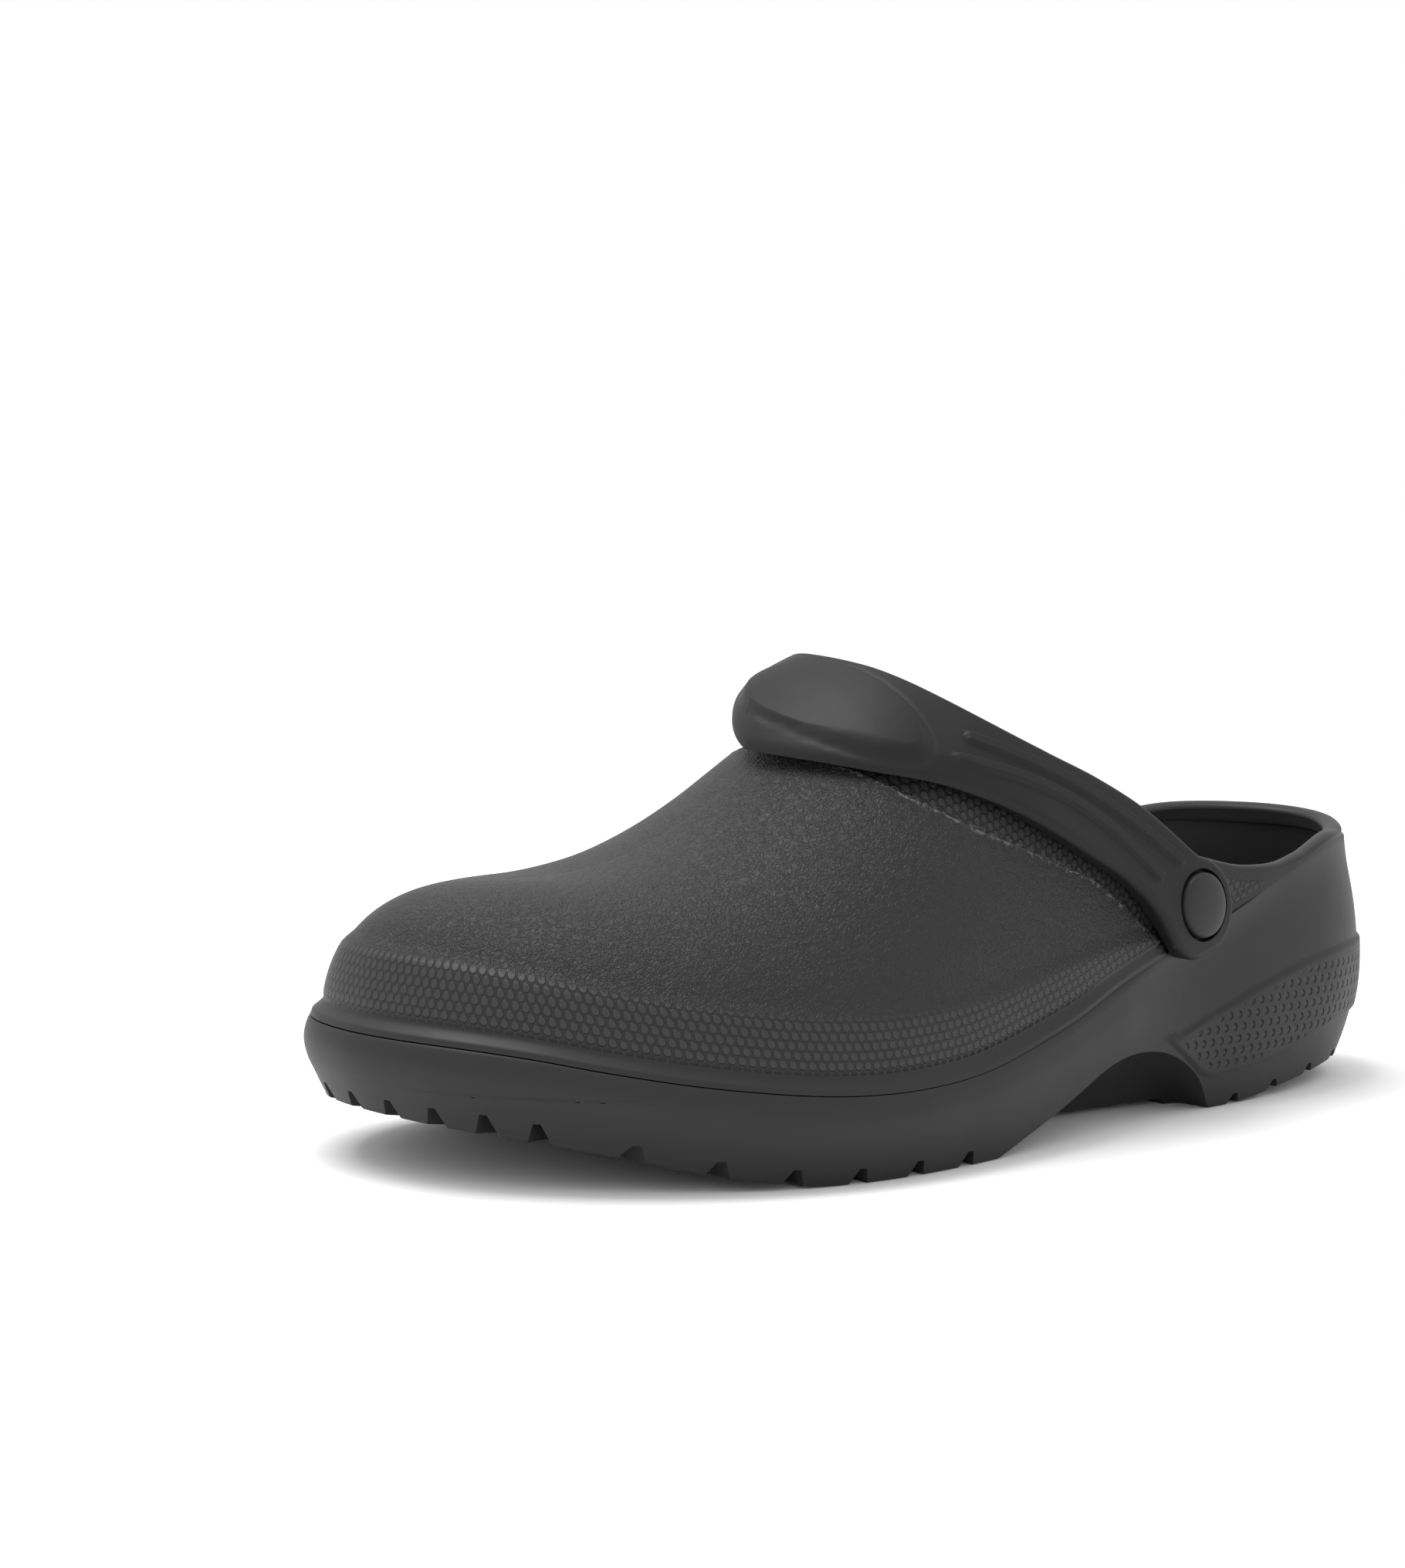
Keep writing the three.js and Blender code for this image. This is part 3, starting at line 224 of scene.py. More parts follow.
def slope(read, x):
    return (read(x + 1) - read(x - 1)) / 2


crest_share, middle_share, boxy_at = reads(CREST)
seam_heel, seam_toe, foxing_share, flare_share, recess_share = reads(SEAM)
collar_dip, collar_rise = reads(COLLAR)
tread_toe, tread_heel, bed_share, bed_toe = reads(TREAD)
(ridge_share,) = reads(RIDGE)


def crest_z(x):
    return mix(TOE_HEIGHT, INSTEP_HEIGHT, crest_share(x))


def seam_z(x):
    heel_rise = RIM_HEIGHT - RIM_BAND - SIDEWALL_HEIGHT
    return SIDEWALL_HEIGHT + TOE_SPRING * seam_toe(x) + heel_rise * seam_heel(x)


def foxing_z(x):
    return seam_z(x) + FOXING_HEIGHT * foxing_share(x)


def collar_z(x, y):
    rise = (INSTEP_HEIGHT - RIM_HEIGHT) * collar_rise(x)
    return RIM_HEIGHT - COLLAR_DIP * collar_dip(x) + rise - COLLAR_TILT * y


def tread_z(x):
    return TOE_SPRING * np.maximum(0, tread_toe(x)) + HEEL_SPRING * np.maximum(0, tread_heel(x))


def footbed_z(x):
    return mix(BALL_SUBSTANCE, HEEL_SUBSTANCE, bed_share(x)) + TOE_SPRING * bed_toe(x)


def ridge_z(x):
    return mix(SIDEWALL_HEIGHT, INSTEP_HEIGHT, ridge_share(x))


def heelness(x):
    """How far a place belongs to the heel, where upper and sole are flush."""
    return 1 - smooth(0.3 * LAST_LENGTH, 0.42 * LAST_LENGTH, x)


def crest_x(x):
    """Sections fan out round heel and toe, so the crest line is shorter than the outline."""
    toe = np.maximum(0, (x - TOE_FAN_START) / (LAST_LENGTH - TOE_FAN_START))
    heel = np.maximum(0, (HEEL_FAN_END - x) / HEEL_FAN_END)
    return x - TOE_FAN * toe**2 + HEEL_FAN * heel**2


print("seam at heel, ball and toe:", [round(float(seam_z(x)), 1) for x in (5, 190, 275)])


# %% [markdown]
# ## The last's surface
# Every column starts on the plan outline, rises and bends over to the crest line. The same function
# gives the outside, the inside and the strap: only the distance from the surface changes.


# %% Outline and dome
def plan(q):
    """Outline at q: 0 heel, 1 toe along the outer side, 2 heel again along the inner side."""

    def place(at):
        at = np.mod(at, 2)
        share = np.where(at <= 1, at, 2 - at)
        side = np.where(at <= 1, lateral_share(share), medial_share(share))
        return LAST_LENGTH * (1 - np.cos(np.pi * share)) / 2, BALL_WIDTH * side

    small = 0.004
    x, y = place(q)
    ahead = place(q + small)
    behind = place(q - small)
    length = np.hypot(ahead[0] - behind[0], ahead[1] - behind[1])
    return x, y, -(ahead[1] - behind[1]) / length, (ahead[0] - behind[0]) / length


def crest_offset(x, offset):
    return offset * np.hypot(1, slope(crest_z, x))


def dome(q, angle, offset=0.0, crown=0.0, skew=0.0):
    """Points of the upper's surface, moved out by offset. angle runs from 0 to a quarter turn."""
    x, y, nx, ny = plan(q)
    out = BAND_OVERHANG * flare_share(x) + offset
    foot_z = seam_z(x) - BASE_DROP
    top_x = crest_x(x)
    top_y = BALL_WIDTH * middle_share(top_x) - skew
    top_z = crest_z(top_x) + crest_offset(top_x, offset) + crown
    power = 2 / boxy_at(x)
    inward = 1 - np.maximum(np.cos(angle), 0) ** power
    upward = np.maximum(np.sin(angle), 0) ** power
    return np.stack(np.broadcast_arrays(
        mix(x + nx * out, top_x, inward),
        mix(y + ny * out, top_y, inward),
        mix(foot_z, top_z, upward),
    ), axis=-1)


def angle_at(q, z):
    """The angle at which a column reaches a height."""
    x = plan(q)[0]
    foot = seam_z(x) - BASE_DROP
    share = np.clip((z - foot) / (crest_z(crest_x(x)) - foot), 0, 1)
    return np.arcsin(share ** (boxy_at(x) / 2))


print("toe end of the outline:", [round(float(v), 1) for v in plan(np.array(1.0))[:2]])


# %% [markdown]
# ## From points to a mesh
# Every large piece here is a fine grid laid on such a surface. bmesh.ops.create_grid makes the
# faces, and the grid's own coordinates say which row and column each corner belongs to. Where the
# grid closes on itself its doubles are merged, and the normals are then turned outwards.


# %% Grid helpers
MERGED = 0.000001  # corners nearer than this, in metres, are one


def laid_grid(points, layers, uv):
    """bmesh grid on points[row, column], with number layers on corners and a map in metres."""
    rows, columns = points.shape[:2]
    bm = bmesh.new()
    flat_map = bm.loops.layers.uv.new("surface")
    bmesh.ops.create_grid(bm, x_segments=columns - 1, y_segments=rows - 1, size=0.5, calc_uvs=True)
    slots = {name: bm.verts.layers.float.new(name) for name in layers}
    placed = (points - MIDDLE) * MM
    where = {}
    for vert in bm.verts:
        column = round((vert.co.x + 0.5) * (columns - 1))
        row = round((vert.co.y + 0.5) * (rows - 1))
        where[vert.index] = (row, column)
        for name, slot in slots.items():
            vert[slot] = layers[name][row, column]
        vert.co = placed[row, column]
    for face in bm.faces:
        for loop in face.loops:
            row, column = where[loop.vert.index]
            loop[flat_map].uv = uv[row, column] * MM
    return bm, where


def unrolled(line, across):
    """Map of a grid: the length along a line, and a second measure across it."""
    run = np.concatenate([[0], np.cumsum(np.linalg.norm(np.diff(line, axis=0), axis=1))])
    return np.stack([np.broadcast_to(run, across.shape), across], axis=-1)


def closed(bm):
    """Merges doubles, drops faces without area and turns the rest outwards."""
    bmesh.ops.remove_doubles(bm, verts=bm.verts[:], dist=MERGED)
    bmesh.ops.dissolve_degenerate(bm, dist=MERGED, edges=bm.edges[:])
    bmesh.ops.recalc_face_normals(bm, faces=bm.faces[:])
    return bm


def piece(name, bm, sharp=40.0):
    """Object at the origin from a bmesh, shaded smooth apart from its sharp edges."""
    open_edges = sum(1 for edge in bm.edges if len(edge.link_faces) != 2)
    mesh = bpy.data.meshes.new(name)
    bm.to_mesh(mesh)
    bm.free()
    mesh.shade_smooth()
    mesh.set_sharp_from_angle(angle=np.radians(sharp))
    made = bpy.data.objects.new(name, mesh)
    bpy.context.scene.collection.objects.link(made)
    print(name, len(mesh.vertices), "corners,", len(mesh.loops) - 2 * len(mesh.polygons), "triangles,",
          open_edges, "open edges")
    return made


def cut(target, cutters, sharp):
    """Takes the cutters out of the target and keeps the result as its mesh."""
    for cutter in cutters:
        modifier = target.modifiers.new("cut", "BOOLEAN")
        modifier.operation = "DIFFERENCE"
        modifier.solver = "EXACT"
        modifier.object = cutter
    graph = bpy.context.evaluated_depsgraph_get()
    result = bpy.data.meshes.new_from_object(target.evaluated_get(graph))
    target.modifiers.clear()
    target.data = result
    result.set_sharp_from_angle(angle=np.radians(sharp))
    for cutter in cutters:
        bpy.data.objects.remove(cutter)
    print(target.name, "after its cuts:", len(result.loops) - 2 * len(result.polygons), "triangles")


# %% [markdown]
# ## Upper
# The upper is one moulded shell. Its relief is a few tenths of a millimetre to a few millimetres
# high: the bead along its foot, the dotted band with a soft lip, and the collar band that lies
# lower behind the vamp's rear ridge. A modifier could not place them, so the distance from the
# last's surface is worked out for every point, and the grid's rows run along those lines.


# %% Relief of the upper
def below_ridge(x, z):
    """Distance in millimetres in front of the vamp's rear ridge."""
    return (ridge_z(x) - z) / np.hypot(1, slope(ridge_z, x))


def ahead_of_ridge(x, z, width=1.6):
    """1 on the vamp, 0 on the collar band behind its ridge."""
    within = smooth(-width / 2, width / 2, below_ridge(x, z))
    started = smooth(0.325 * LAST_LENGTH, 0.34 * LAST_LENGTH, x)
    past = smooth(0.655 * LAST_LENGTH, 0.67 * LAST_LENGTH, x)
    return np.maximum(within * started, past)


def relief(x, z):
    """Distance of the upper's outside from the last's surface."""
    vamp = ahead_of_ridge(x, z)
    up = z - seam_z(x)
    band = 1 - smooth(-2.6, 1.8, z - foxing_z(x))
    channel = 1 - smooth(CHANNEL_TOP - 0.5, CHANNEL_TOP, up)
    raised = FOXING_STEP * band - CHANNEL_DEPTH * channel
    over = mix(BAND_OVERHANG - BAND_OVERHANG * flare_share(x), 0, heelness(x))
    low = 2 * BEAD_BEND - BEAD_TOP
    bead = over * (1 - smooth(low, BEAD_TOP, up)) / (1 - smooth(low, BEAD_TOP, 0))
    bead = bead - BEAD_TUCK * (1 - heelness(x)) * (1 - smooth(0, BEAD_BEND, up))
    return vamp * raised - (1 - vamp) * COLLAR_STEP * recess_share(x) + bead


def dotted(x, z):
    """Where the moulded dots are: the band round the foot, the collar band and the rear quarter."""
    vamp = ahead_of_ridge(x, z, 0.6)
    up = z - seam_z(x)
    band = (1 - smooth(-2.4, -0.6, z - foxing_z(x))) * smooth(CHANNEL_TOP + 0.1, CHANNEL_TOP + 0.5, up)
    return vamp * band + (1 - vamp) * smooth(1.6, 2.2, up)


# %% Upper's grid
COLUMNS = 560
RIM_ROWS = 10
INNER_ROWS = 22
RIM_RISE = 1.3  # height of the rounded rim
RIM_DROP = 0.5  # its outer edge lies below the collar line by this much
LEAST_RIM = 1.0  # least height of the rim above the seam
RIM_ROLL = 0.9  # the rim is thicker than the wall by this much


def crossing(values, places):
    """Place in each row where the values first rise above zero."""
    rows = np.arange(len(values))
    first = np.argmax(values > 0, axis=1)
    last = np.maximum(first - 1, 0)
    before = values[rows, last]
    part = np.clip(before / (before - values[rows, first] - 1e-9), 0, 1)
    return places[last] + (places[first] - places[last]) * part


def collar_angles(q):
    """Angle at which each column meets the collar line; a quarter turn where it reaches the crest."""
    angles = np.linspace(0.02, np.pi / 2, 600)
    points = dome(q[:, None], angles)
    over = points[..., 2] + RIM_DROP - collar_z(points[..., 0], points[..., 1])
    crossed = (over > 0).any(axis=1)
    end = np.maximum(crossing(over, angles), angle_at(q, seam_z(plan(q)[0]) + LEAST_RIM))
    return np.where(crossed, end, np.pi / 2), ~crossed


def rows_between(stops, counts):
    """Rows evenly spaced from stop to stop, the last stop included."""
    rows = [mix(low, high, np.arange(count)[:, None] / count)
            for low, high, count in zip(stops, stops[1:], counts)]
    return np.concatenate([*rows, stops[-1][None]])


def outer_rows(q, end):
    """Angles of the rows of each column, packed where the relief has its lines."""
    x = plan(q)[0]
    foot = angle_at(q, seam_z(x) + SEAM_GAP)
    bead = np.minimum(angle_at(q, seam_z(x) + BEAD_HEIGHT * 1.6), mix(foot, end, 0.5))
    ceiling = mix(bead, end, 0.8)
    lip = np.minimum(angle_at(q, foxing_z(x) - 1.3), mix(bead, end, 0.45))
    lip_end = np.minimum(angle_at(q, foxing_z(x) + 1.3), mix(bead, end, 0.55))
    ridge = np.clip(angle_at(q, ridge_z(x) - 1.4), mix(lip_end, end, 0.2), ceiling)
    ridge_end = np.clip(angle_at(q, ridge_z(x) + 1.2), mix(ridge, end, 0.15), mix(bead, end, 0.9))
    return rows_between([foot, bead, lip, lip_end, ridge, ridge_end, end], [14, 10, 8, 34, 9, 20])


q_columns = np.linspace(0, 2, COLUMNS + 1)
collar_end, is_closed = collar_angles(q_columns)
angles = outer_rows(q_columns, collar_end)
bare = dome(q_columns, angles)
outside = dome(q_columns, angles, relief(bare[..., 0], bare[..., 2]))

# The rim: an arc from the outer edge to the inner one, square to the rim's own line
inner_edge = dome(q_columns, collar_end, -UPPER_WALL - RIM_ROLL)
rim_line = outside[-1]
forward = np.roll(rim_line, -1, axis=0) - np.roll(rim_line, 1, axis=0)
forward[0] = forward[-1] = rim_line[1] - rim_line[-2]
across = inner_edge - rim_line
upward = np.cross(across, forward)
upward /= np.linalg.norm(upward, axis=1)[:, None]
upward *= np.sign(upward[:, 2:3] + 1e-9)
arc = np.linspace(0, np.pi, RIM_ROWS + 1)[1:-1, None, None]
rim = rim_line + across * (1 - np.cos(arc)) / 2 + upward * (np.sin(arc) * RIM_RISE)
inner_foot = angle_at(q_columns, seam_z(plan(q_columns)[0]) + SEAM_GAP)
inner_angles = mix(collar_end, inner_foot, np.linspace(0, 1, INNER_ROWS)[:, None])
inside = dome(q_columns, inner_angles, -UPPER_WALL)
inner_drop = collar_z(inside[..., 0], inside[..., 1]) - inside[..., 2]
inside = dome(q_columns, inner_angles, -UPPER_WALL - RIM_ROLL * (1 - smooth(3.0, 9.0, inner_drop)))
upper_points = np.concatenate([outside, rim, inside, outside[:1]])
print("upper's grid:", upper_points.shape[:2], "closed columns:", int(is_closed.sum()))

# %% Upper
CRUMBS_FROM = 96.0  # the scuffed ridge starts in front of the rivet
CRUMBS_FULL = 108.0
x_grid = np.broadcast_to(plan(q_columns)[0], upper_points.shape[:2])
on_outside = np.zeros(upper_points.shape[:2])
on_outside[: len(outside) - 1] = 1
upper_x, upper_y, upper_z = np.moveaxis(upper_points, -1, 0)
dots = dotted(upper_x, upper_z) * on_outside
collar_gap = collar_z(upper_x, upper_y) - upper_z
dots = dots * np.where(is_closed, 1, smooth(3.0, 4.0, collar_gap))
vamp = ahead_of_ridge(upper_x, upper_z) * on_outside * smooth(-1.8, -0.4, upper_z - foxing_z(x_grid))
upper_map = unrolled(outside[0, :, :2], upper_z - seam_z(x_grid))
crumbs = np.exp(-(((below_ridge(upper_x, upper_z) - 0.5) / 1.1) ** 2))
crumbs = crumbs * on_outside * smooth(CRUMBS_FROM, CRUMBS_FULL, upper_x)
bm, where = laid_grid(upper_points, {"dots": dots, "vamp": vamp, "crumbs": crumbs}, upper_map)
rim_start = len(outside) - 1
rim_end = rim_start + RIM_ROWS
doomed = []
for face in bm.faces:
    places = [where[vert.index] for vert in face.verts]
    if all(is_closed[column] and rim_start <= row <= rim_end for row, column in places):
        doomed.append(face)
bmesh.ops.delete(bm, geom=doomed, context="FACES")
upper = piece("upper_shell", closed(bm))
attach(upper, "root")
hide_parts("upper")

# %% [markdown]
# ## Sole
# The sole unit carries the side band, the heel block with its raised panel, and the heel counter up
# to a fine line below the rim. Its section is one closed line that runs from the tread round the
# side, over the ledge and down to the footbed, so it is laid as one more grid.


# %% Relief of the sole's side
PANEL = table("station low high", [
    (-0.1, 0.27, 0.555), (0.04, 0.262, 0.553), (0.094, 0.245, 0.546), (0.149, 0.19, 0.519),
    (0.205, 0.149, 0.466), (0.256, 0.13, 0.403), (0.278, 0.125, 0.375), (0.289, 0.14, 0.362),
    (0.322, 0.233, 0.32), (0.346, 0.301, 0.305),
])
low_share, high_share = reads(PANEL)
PANEL_END = 0.346 * LAST_LENGTH
PANEL_MARGIN = 2.2  # smooth border round the dimples
side_shares = {name: curve(SIDEWALL, name, key="up") for name in SIDEWALL if name != "up"}


def panel_low(x):
    return RIM_HEIGHT * low_share(x)


def panel_high(x):
    return RIM_HEIGHT * high_share(x)


def on_panel(x, z, edge):
    """1 on the raised heel panel, falling to 0 over edge millimetres at its border."""
    inside = np.minimum((z - panel_low(x)) / np.hypot(1, slope(panel_low, x)),
                        (panel_high(x) - z) / np.hypot(1, slope(panel_high, x)))
    return smooth(0, edge, inside) * (x < PANEL_END)


SHOULDER_HEIGHT = 2.2  # the side band's top edge is widely rounded
SHOULDER_FALL = 0.45


def side_out(x, up):
    """How far the sole's side stands outside the plan outline."""
    share = {name: read(up) for name, read in side_shares.items()}
    fore = BAND_OVERHANG * share["overhang"] + BAND_SWELL * share["swell"]
    rear = BAND_OVERHANG * share["rear"] + BAND_SWELL * share["rearswell"]
    flush = BAND_OVERHANG * flare_share(x)
    below_top = (1 - up) * (seam_z(x) - tread_z(x))
    fore = fore - SHOULDER_FALL * np.clip(1 - below_top / SHOULDER_HEIGHT, 0, 1) ** 2
    return mix(fore, mix(rear, flush, share["flush"]), heelness(x))


def ring(q, out, z):
    x, y, nx, ny = plan(q)
    return np.stack(np.broadcast_arrays(x + nx * out, y + ny * out, z), axis=-1)


def towards_middle(edge, q, z_edge, z_middle, count):
    """Rows that draw a ring together onto the middle line."""
    x = crest_x(plan(q)[0])
    centre = np.stack([x, BALL_WIDTH * middle_share(x), z_middle(x)], axis=-1)
    rows = []
    for t in np.linspace(0, 1, count + 1)[1:]:
        row = mix(edge, centre, t)
        row[:, 2] = mix(z_edge(mix(plan(q)[0], x, t)), z_middle(mix(plan(q)[0], x, t)), t * t)
        rows.append(row)
    return rows


# %% Sole
SOLE_COLUMNS = 520
EDGE_RADIUS = 0.9
SEAM_RADIUS = 0.1
q_sole = np.linspace(0, 2, SOLE_COLUMNS + 1)
x_sole = plan(q_sole)[0]
low = tread_z(x_sole)
high = seam_z(x_sole)
panel_from = np.clip((panel_low(x_sole) - low) / (high - low), 0.12, 0.7)
panel_to = np.clip((panel_high(x_sole) - low) / (high - low), panel_from + 0.1, 0.93)
margin = 0.6 / (high - low)
start = EDGE_RADIUS / (high - low)
seam_edge = SEAM_RADIUS / (high - low)
side_up = rows_between([start, panel_from - margin, panel_from + margin * 2, panel_to - margin * 2,
                        panel_to + margin, 1 - seam_edge], [10, 6, 20, 6, 16])
side_height = mix(low, high, side_up)
side = ring(q_sole, side_out(x_sole, side_up), side_height)
raised = PANEL_STEP * on_panel(side[..., 0], side_height, 1.2)
side = ring(q_sole, side_out(x_sole, side_up) + raised, side_height)

# Rounded lower edge, then the flat tread drawn together under the middle
arc = np.linspace(0, np.pi / 2, 5)[:-1, None]
lower_edge = ring(q_sole, side_out(x_sole, start) - EDGE_RADIUS * (1 - np.sin(arc)),
                  low + EDGE_RADIUS * (1 - np.cos(arc)))
tread_rows = towards_middle(lower_edge[0], q_sole, tread_z, tread_z, 7)[::-1]

# Rounded upper edge, the ledge, the inner wall and the footbed
arc = np.linspace(0, np.pi / 2, 4)[1:, None]
upper_edge = ring(q_sole, side_out(x_sole, 1.0) - SEAM_RADIUS * (1 - np.cos(arc)),
                  high - SEAM_RADIUS * (1 - np.sin(arc)))
ledge_inner = dome(q_sole, angle_at(q_sole, high), -UPPER_WALL)
ledge_inner[:, 2] = high
bed_edge = ring(q_sole, -FOOTBED_INSET, footbed_z(x_sole))
inner_wall = np.stack([mix(ledge_inner, bed_edge, t) for t in np.linspace(0, 1, 9)])
bed_rows = towards_middle(bed_edge, q_sole, footbed_z, lambda x: footbed_z(x) - FOOTBED_DISH, 7)
sole_points = np.concatenate([tread_rows, lower_edge, side, upper_edge, inner_wall, bed_rows])
first_side = len(tread_rows) + len(lower_edge)
on_side = np.zeros(sole_points.shape[:2])
on_side[first_side:first_side + len(side)] = 1
dimples = on_side
for ahead, above, edge in ((0, 0, 0.8), (0, PANEL_MARGIN, 0.6), (0, -PANEL_MARGIN, 0.6), (3.0, 0, 0.6)):
    dimples = dimples * on_panel(sole_points[..., 0] + ahead, sole_points[..., 2] + above, edge)
sole_map = unrolled(side[(len(side) + 1) // 2, :, :2], sole_points[..., 2])
bm, _ = laid_grid(sole_points, {"dimples": dimples}, sole_map)
sole = piece("sole_unit", closed(bm))
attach(sole, "root")
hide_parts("sole")

# %% [markdown]
# ## Cuts in the sole
# The waist is hollowed from both sides and the tread has wedge-shaped grooves, which show at the
# lower edge as small tapered notches. They are real voids with crisp edges, so bars and a lofted
# hollow are made and taken out with Boolean modifiers.


# %% Cutters
ARCH_HEIGHT = 17.5
ARCH_CORE = 52.0
WAIST_LIFT = 1.5
WAIST_MIDDLE = 114.0
WAIST_LENGTH = 74.0
WAIST_SLOPE = 3.0
GROOVE_DEPTH = 3.6
GROOVE_MOUTH = 5.6
HEEL_GROOVE_DEPTH = 2.6
TOE_GROOVE_DEPTH = 4.6
GROOVE_ROOT = 1.6
GROOVE_PITCH = 15.6
FORE_GROOVES = (168, 250)
HEEL_GROOVES = (18, 70)
FAN = (-0.74, 0.69)  # angles of the first and last groove round the toe
REACH = 90.0
ARCH = table("station high", [
    (0.26, -0.02), (0.27, 0.12), (0.286, 0.41), (0.311, 0.71), (0.339, 0.92), (0.368, 1),
    (0.396, 1), (0.429, 0.89), (0.464, 0.66), (0.5, 0.41), (0.536, 0.18), (0.564, -0.02),
])
(arch_share,) = reads(ARCH)


def half_width(x, sign):
    q = turn(np.asarray(x) / LAST_LENGTH)
    return BALL_WIDTH * np.where(sign > 0, lateral_share(q), medial_share(q))


def arch_hollow(sign):
    """Lofted hollow under the waist on one side."""
    stations = np.linspace(0.26, 0.564, 50) * LAST_LENGTH
    bend = np.linspace(0, np.pi / 2, 15)
    wall = np.abs(half_width(stations, sign))[:, None]
    high = (ARCH_HEIGHT * arch_share(stations))[:, None]
    run = wall - ARCH_CORE / 2
    y = wall - run * np.sin(bend)
    z = high * np.cos(bend) - WAIST_LIFT * bend / (np.pi / 2)
    y = np.concatenate([wall * 0 + REACH, wall * 0 + REACH, y, wall - run], axis=1)
    z = np.concatenate([wall * 0 - GROOVE_DEPTH, high, z, wall * 0 - GROOVE_DEPTH], axis=1)
    rings = np.stack([np.broadcast_to(stations[:, None], y.shape), sign * y, z], axis=-1)
    rings = np.concatenate([rings, rings[:, :1]], axis=1)
    ends = [np.repeat(rings[i, :-1].mean(axis=0)[None, :], rings.shape[1], axis=0) for i in (0, -1)]
    points = np.concatenate([ends[0][None], rings, ends[1][None]])
    bm, _ = laid_grid(points, {}, np.zeros(points.shape[:2] + (2,)))
    return piece("arch_hollow", closed(bm))


def placed_box(corners, name):
    """A cube whose eight corners are moved to the given places, in millimetres."""
    bm = bmesh.new()
    bmesh.ops.create_cube(bm, size=2.0)
    for vert in bm.verts:
        key = tuple(int(np.sign(value)) for value in vert.co)
        vert.co = (Vector(corners(*key)) - Vector(MIDDLE)) * MM
    bmesh.ops.recalc_face_normals(bm, faces=bm.faces[:])
    return piece(name, bm)


def groove(start, end, depth):
    """Wedge-shaped bar from one point of the tread to another."""
    start, end = Vector(start), Vector(end)
    forward = (end - start).normalized()
    sideways = Vector((0, 0, 1)).cross(forward).normalized()
    upward = forward.cross(sideways)

    def corner(i, j, k):
        half = GROOVE_ROOT / 2 if k > 0 else GROOVE_MOUTH / 2 * 1.4
        level = depth if k > 0 else -GROOVE_DEPTH * 0.8
        return (end if i > 0 else start) + sideways * half * j + upward * level

    return placed_box(corner, "groove")


def on_tread(x, y):
    return (x, y, float(tread_z(x)))


PAST = 8.0  # how far a bar runs past the plan outline
HUB = (215.0, -10.0)
SPOKE = (42.0, 78.0)  # inner and outer end, from the hub
SPOKES = 9
cutters = [arch_hollow(1), arch_hollow(-1)]
cutters.append(placed_box(
    lambda i, j, k: (WAIST_MIDDLE + i * (WAIST_LENGTH / 2 - k * WAIST_SLOPE), j * REACH,
                     WAIST_LIFT if k > 0 else -3 * GROOVE_DEPTH), "waist"))
across_at = [*np.arange(*FORE_GROOVES, GROOVE_PITCH), *np.arange(*HEEL_GROOVES, GROOVE_PITCH)]
for x in across_at:
    cutters.append(groove(on_tread(x, float(half_width(x, -1)) - PAST),
                          on_tread(x, float(half_width(x, 1)) + PAST),
                          HEEL_GROOVE_DEPTH if x < LAST_LENGTH / 2 else GROOVE_DEPTH))
for angle in np.linspace(*FAN, SPOKES):
    ends = [on_tread(HUB[0] + far * np.cos(angle), HUB[1] + far * np.sin(angle)) for far in SPOKE]
    cutters.append(groove(*ends, TOE_GROOVE_DEPTH))
cut(sole, cutters, sharp=35)

# %% [markdown]
# ## Footbed
# A thin shaped sheet lies in the sole. It has the sole's own outline, drawn in a little, and its
# upper edge is rounded.

# %% Footbed
depth = seam_z(x_sole) - BASE_DROP - footbed_z(x_sole)


def bed_out(up):
    wall = BAND_OVERHANG * flare_share(x_sole) - UPPER_WALL
    return mix(-FOOTBED_INSET, wall, up / depth) - FIT


bed_top = INSOLE_THICKNESS
under = ring(q_sole, bed_out(FIT), footbed_z(x_sole) + FIT)
edge_rows = [under, ring(q_sole, bed_out(2.0), footbed_z(x_sole) + 2.0)]
for bend in np.linspace(0, np.pi / 2, 5):
    edge_rows.append(ring(q_sole, bed_out(bed_top) - 1.2 * (1 - np.cos(bend)),
                          footbed_z(x_sole) + bed_top - 1.2 * (1 - np.sin(bend))))
over_rows = towards_middle(edge_rows[-1], q_sole, lambda x: footbed_z(x) + bed_top,
                           lambda x: footbed_z(x) - FOOTBED_DISH + bed_top, 14)
under_rows = towards_middle(under, q_sole, lambda x: footbed_z(x) + FIT,
                            lambda x: footbed_z(x) - FOOTBED_DISH + FIT, 6)[::-1]
bed_points = np.concatenate([under_rows, edge_rows, over_rows])
bm, _ = laid_grid(bed_points, {}, bed_points[..., :2])
footbed = piece("footbed", closed(bm))
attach(footbed, "root")
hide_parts("insole")

# %% [markdown]
# ## Strap
# The strap is one moulding that lies on the collar band and crosses the instep. Seen from the side
# it follows a straight run from rivet to crest, so its edges are given as distances from that run.
# Over the instep its front edge follows a curve seen from above. Cross-lines join the two edges,
# and round each of them goes one closed section: top, rounded edges, walls and underside.

